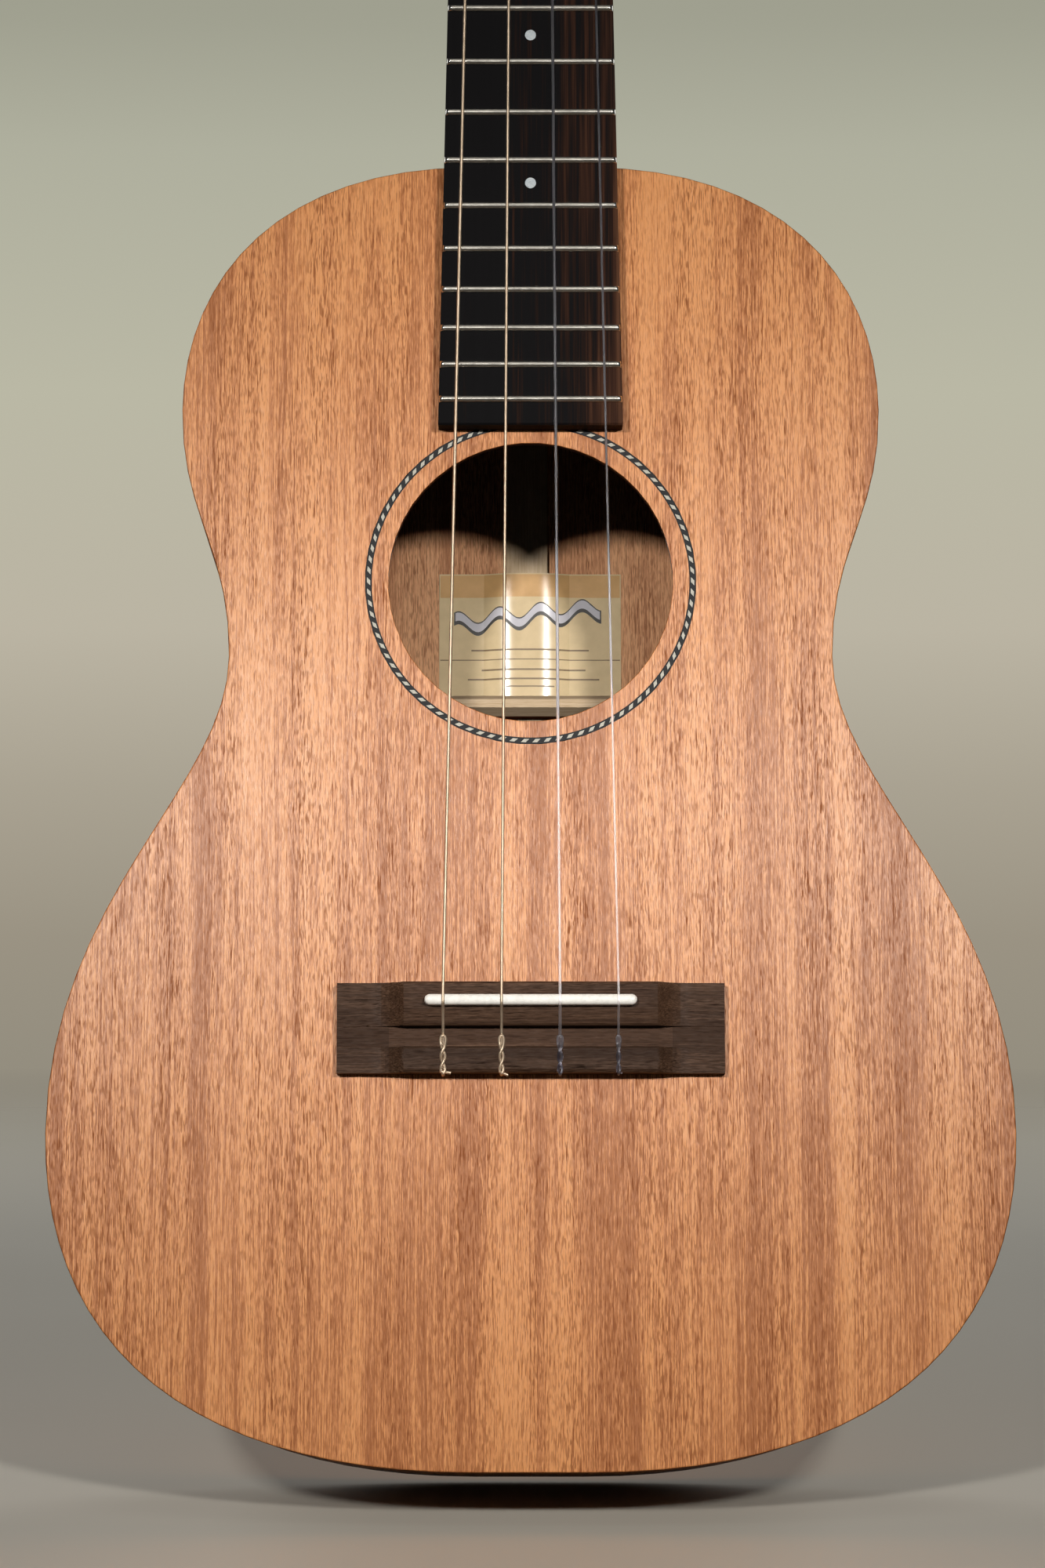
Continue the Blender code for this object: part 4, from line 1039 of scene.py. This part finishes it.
def finish_tuners():
    def long_edges(middle, edge):
        return edge.calc_length() > 0.5 * MM

    gear_low, gear_high, shank = 3.0 * MM, 6.3 * MM, 2.35 * MM
    for number in TUNERS:
        plate = f"tuner_{number}_plate"
        refined(plate, "plated", bevel=0.22 * MM, angle=40, segments=2, choose=long_edges)
        post = refined(f"tuner_{number}_post", "plated", "brass")
        for face in post.data.polygons:
            away = face.center - local(number, 0, 0, 0)
            n = away.dot(HEAD_BACK)
            if gear_low < n < gear_high and (away - HEAD_BACK * n).length > shank:
                face.material_index = 1
        refined(f"tuner_{number}_worm_shaft", "steel")
        button = refined(f"tuner_{number}_button", "button")
        finer = button.modifiers.new("finer", "SUBSURF")
        finer.levels = finer.render_levels = 2


def make_headstock_veneer():
    """A thin dark face glued to the headstock, with the neck's own outline."""
    fronts = [local(number, 0, -HEAD_THICK / MM, 0) for number in TUNERS]
    front = Vector((0, fronts[0].y, fronts[0].z))
    outline, post_hole, nut_end = {}, 4 * MM, BOARD_HIGH.z + 7.5 * MM
    for vertex in NODES["neck"].data.vertices:
        away = vertex.co - front
        in_face = abs(away.dot(HEAD_BACK)) < 0.02 * MM and vertex.co.z > nut_end
        if in_face and min((vertex.co - post).length for post in fronts) > post_hole:
            up = round(away.dot(HEAD_UP) / MM, 1)
            outline[up] = max(outline.get(up, 0.0), abs(vertex.co.x) / MM)
    ups = sorted(outline)
    inset = 0.15
    right = [(max(outline[u] - inset, 1.0), u - (inset if u == ups[-1] else 0.0)) for u in ups]
    shape = right + [(-x, u) for x, u in right[::-1]]
    rings = []
    for shrink, lift in ((0.0, 0.03), (0.0, 0.7), (0.3, 1.0)):
        ring = []
        for x, u in shape:
            x_in = math.copysign(max(abs(x) - shrink, 0.5), x)
            u_in = u - shrink if u > ups[-1] - 1 else u
            ring.append(front + Vector((x_in * MM, 0, 0)) + HEAD_UP * u_in * MM - HEAD_BACK * lift * MM)
        rings.append(ring)
    veneer = piece("headstock_veneer", lofted("headstock_veneer", rings), "rosewood_up", sharp=30)
    for number in TUNERS:
        mesh = lofted("drill", turned(number, ((3.9, -18.0), (3.9, -10.0))))
        drill = placed(f"veneer_drill_{number}", mesh)
        hole = veneer.modifiers.new(f"hole_{number}", "BOOLEAN")
        hole.object, hole.solver = drill, "EXACT"
        drill.hide_render = drill.hide_viewport = True
        drill.display_type = "WIRE"


# ---- stage, light and camera

LEAN = math.radians(9.78)  # the instrument leans back this far from the camera's upright
CAMERA_PLACE = Vector((-2.2, 0, -139.1)) * MM + Vector((0, FACE_Y - 1152.0 * MM, 0))


def make_camera():
    camera = placed("camera", bpy.data.cameras.new("camera"))
    camera.location = CAMERA_PLACE
    camera.rotation_euler = (math.radians(90) + LEAN, 0, 0)
    camera.data.sensor_width = 36.0
    camera.data.lens = 99.7
    bpy.context.scene.camera = camera


def area_light(name, place, target, size, power, colour=(1, 1, 1)):
    lamp = bpy.data.lights.new(name, "AREA")
    lamp.shape = "ELLIPSE" if isinstance(size, tuple) else "DISK"
    lamp.size = size[0] if isinstance(size, tuple) else size
    if isinstance(size, tuple):
        lamp.size_y = size[1]
    lamp.energy, lamp.color = power, colour
    obj = placed(name, lamp)
    obj.location = place
    obj.rotation_euler = (Vector(target) - Vector(place)).to_track_quat("-Z", "Y").to_euler()
    return obj


def make_lights():
    """Two small lamps either side of the camera, a high soft one for the neck and two behind for the back."""
    centre = Vector((0, FACE_Y, HOLE_Z))
    for side in (-1, 1):
        angle, rise, away = math.radians(17.5), math.radians(7.2), 1.7
        place = centre + away * Vector(
            (side * math.sin(angle), -math.cos(angle) * math.cos(rise), math.sin(rise))
        )
        key = area_light(f"key_{side}", place, Vector((0, FACE_Y, 55 * MM)), 0.14, 0.49, (1.0, 0.97, 0.94))
        key.data.spread = math.radians(32)
    neck = Vector((0, FACE_Y, 450 * MM))
    high = neck + 1.4 * Vector((0, -math.cos(math.radians(40)), math.sin(math.radians(40))))
    area_light("overhead", high, neck, (1.2, 0.5), 1.0, (1.0, 0.97, 0.93))
    for side in (-1, 1):
        place = centre + Vector((side * 1.0, 1.3, 0.6))
        area_light(f"back_{side}", place, centre, 0.8, 6.0, (0.98, 0.99, 1.0))


def make_floor():
    """A pale floor that fades into the backdrop. It is level with the camera; the body leans back on it."""
    sides, spans, radius = 96, 4, 1.9
    along = Vector((0, math.cos(LEAN), math.sin(LEAN)))
    upright = Vector((0, -math.sin(LEAN), math.cos(LEAN)))
    centre = Vector((0, 0, TOP_LOW.z)) - upright * 1.0 * MM
    points, faces = [], []
    for share in (0.0005, 0.25, 0.5, 0.75, 1.0):
        points += [centre + radius * share * (c * Vector((1, 0, 0)) + s * along) for c, s in turns(sides)]
    for k in range(spans):
        for i in range(sides):
            j = (i + 1) % sides
            faces.append([k * sides + i, k * sides + j, (k + 1) * sides + j, (k + 1) * sides + i])
    faces.append(list(range(sides)))
    floor = placed("floor", mesh_of("floor", points, faces))
    made, tree, shader = new_material("pale_floor")
    patches = noise(tree, scaled_coords(tree, (3, 3, 3)), detail=2.0)
    pale = ramp(tree, patches, (0.3, (0.70, 0.66, 0.56)), (0.7, (0.74, 0.70, 0.60)))
    link(tree, seen_only(tree, pale, (0.12, 0.10, 0.08)), shader.inputs["Base Color"])
    settle(shader, Roughness=0.8)
    coords = node(tree, "ShaderNodeTexCoord")
    distance = node(tree, "ShaderNodeVectorMath", operation="DISTANCE")
    distance.inputs[1].default_value = centre
    link(tree, coords.outputs["Object"], distance.inputs[0])
    share = math_node(tree, "DIVIDE", distance.outputs["Value"], radius)
    link(tree, ramp(tree, share, (0.35, 1.0), (0.95, 0.0)), shader.inputs["Alpha"])
    floor.data.materials.append(made)


def make_world():
    """A pale wall for the camera, brighter at mid height, and a dim even light for everything else."""
    world = bpy.data.worlds.new("studio")
    bpy.context.scene.world = world
    world.use_nodes = True
    tree = world.node_tree
    tree.nodes.clear()
    coords = node(tree, "ShaderNodeTexCoord")
    turned_back = node(tree, "ShaderNodeVectorRotate", rotation_type="X_AXIS")
    turned_back.inputs["Angle"].default_value = -LEAN
    link(tree, coords.outputs["Generated"], turned_back.inputs["Vector"])
    height = math_node(tree, "ADD", part_of(tree, turned_back.outputs["Vector"], "Z"), 0.5)
    wall = ramp(
        tree, height, (0.30, (0.36, 0.34, 0.295)), (0.43, (0.29, 0.265, 0.21)),
        (0.465, (0.325, 0.29, 0.227)), (0.5, (0.40, 0.362, 0.287)), (0.536, (0.497, 0.458, 0.368)),
        (0.59, (0.492, 0.480, 0.377)), (0.644, (0.43, 0.43, 0.342)), (0.674, (0.35, 0.35, 0.277)),
    )
    seen = node(tree, "ShaderNodeBackground", Strength=1.0)
    link(tree, wall, seen.inputs["Color"])
    even = node(tree, "ShaderNodeBackground", Color=(0.92, 0.95, 1.0, 1), Strength=0.03)
    path = node(tree, "ShaderNodeLightPath")
    pick = node(tree, "ShaderNodeMixShader")
    link(tree, path.outputs["Is Camera Ray"], pick.inputs["Fac"])
    link(tree, even.outputs["Background"], pick.inputs[1])
    link(tree, seen.outputs["Background"], pick.inputs[2])
    output = node(tree, "ShaderNodeOutputWorld")
    link(tree, pick.outputs["Shader"], output.inputs["Surface"])


finish_body()
make_rosette()
make_label()
finish_neck()
make_frets()
make_dots()
finish_bridge()
make_strings()
make_headstock_veneer()
make_bushings()
make_screws()
make_string_ends()
finish_tuners()
make_camera()
make_lights()
make_floor()
make_world()
bpy.context.scene.view_settings.view_transform = "Standard"
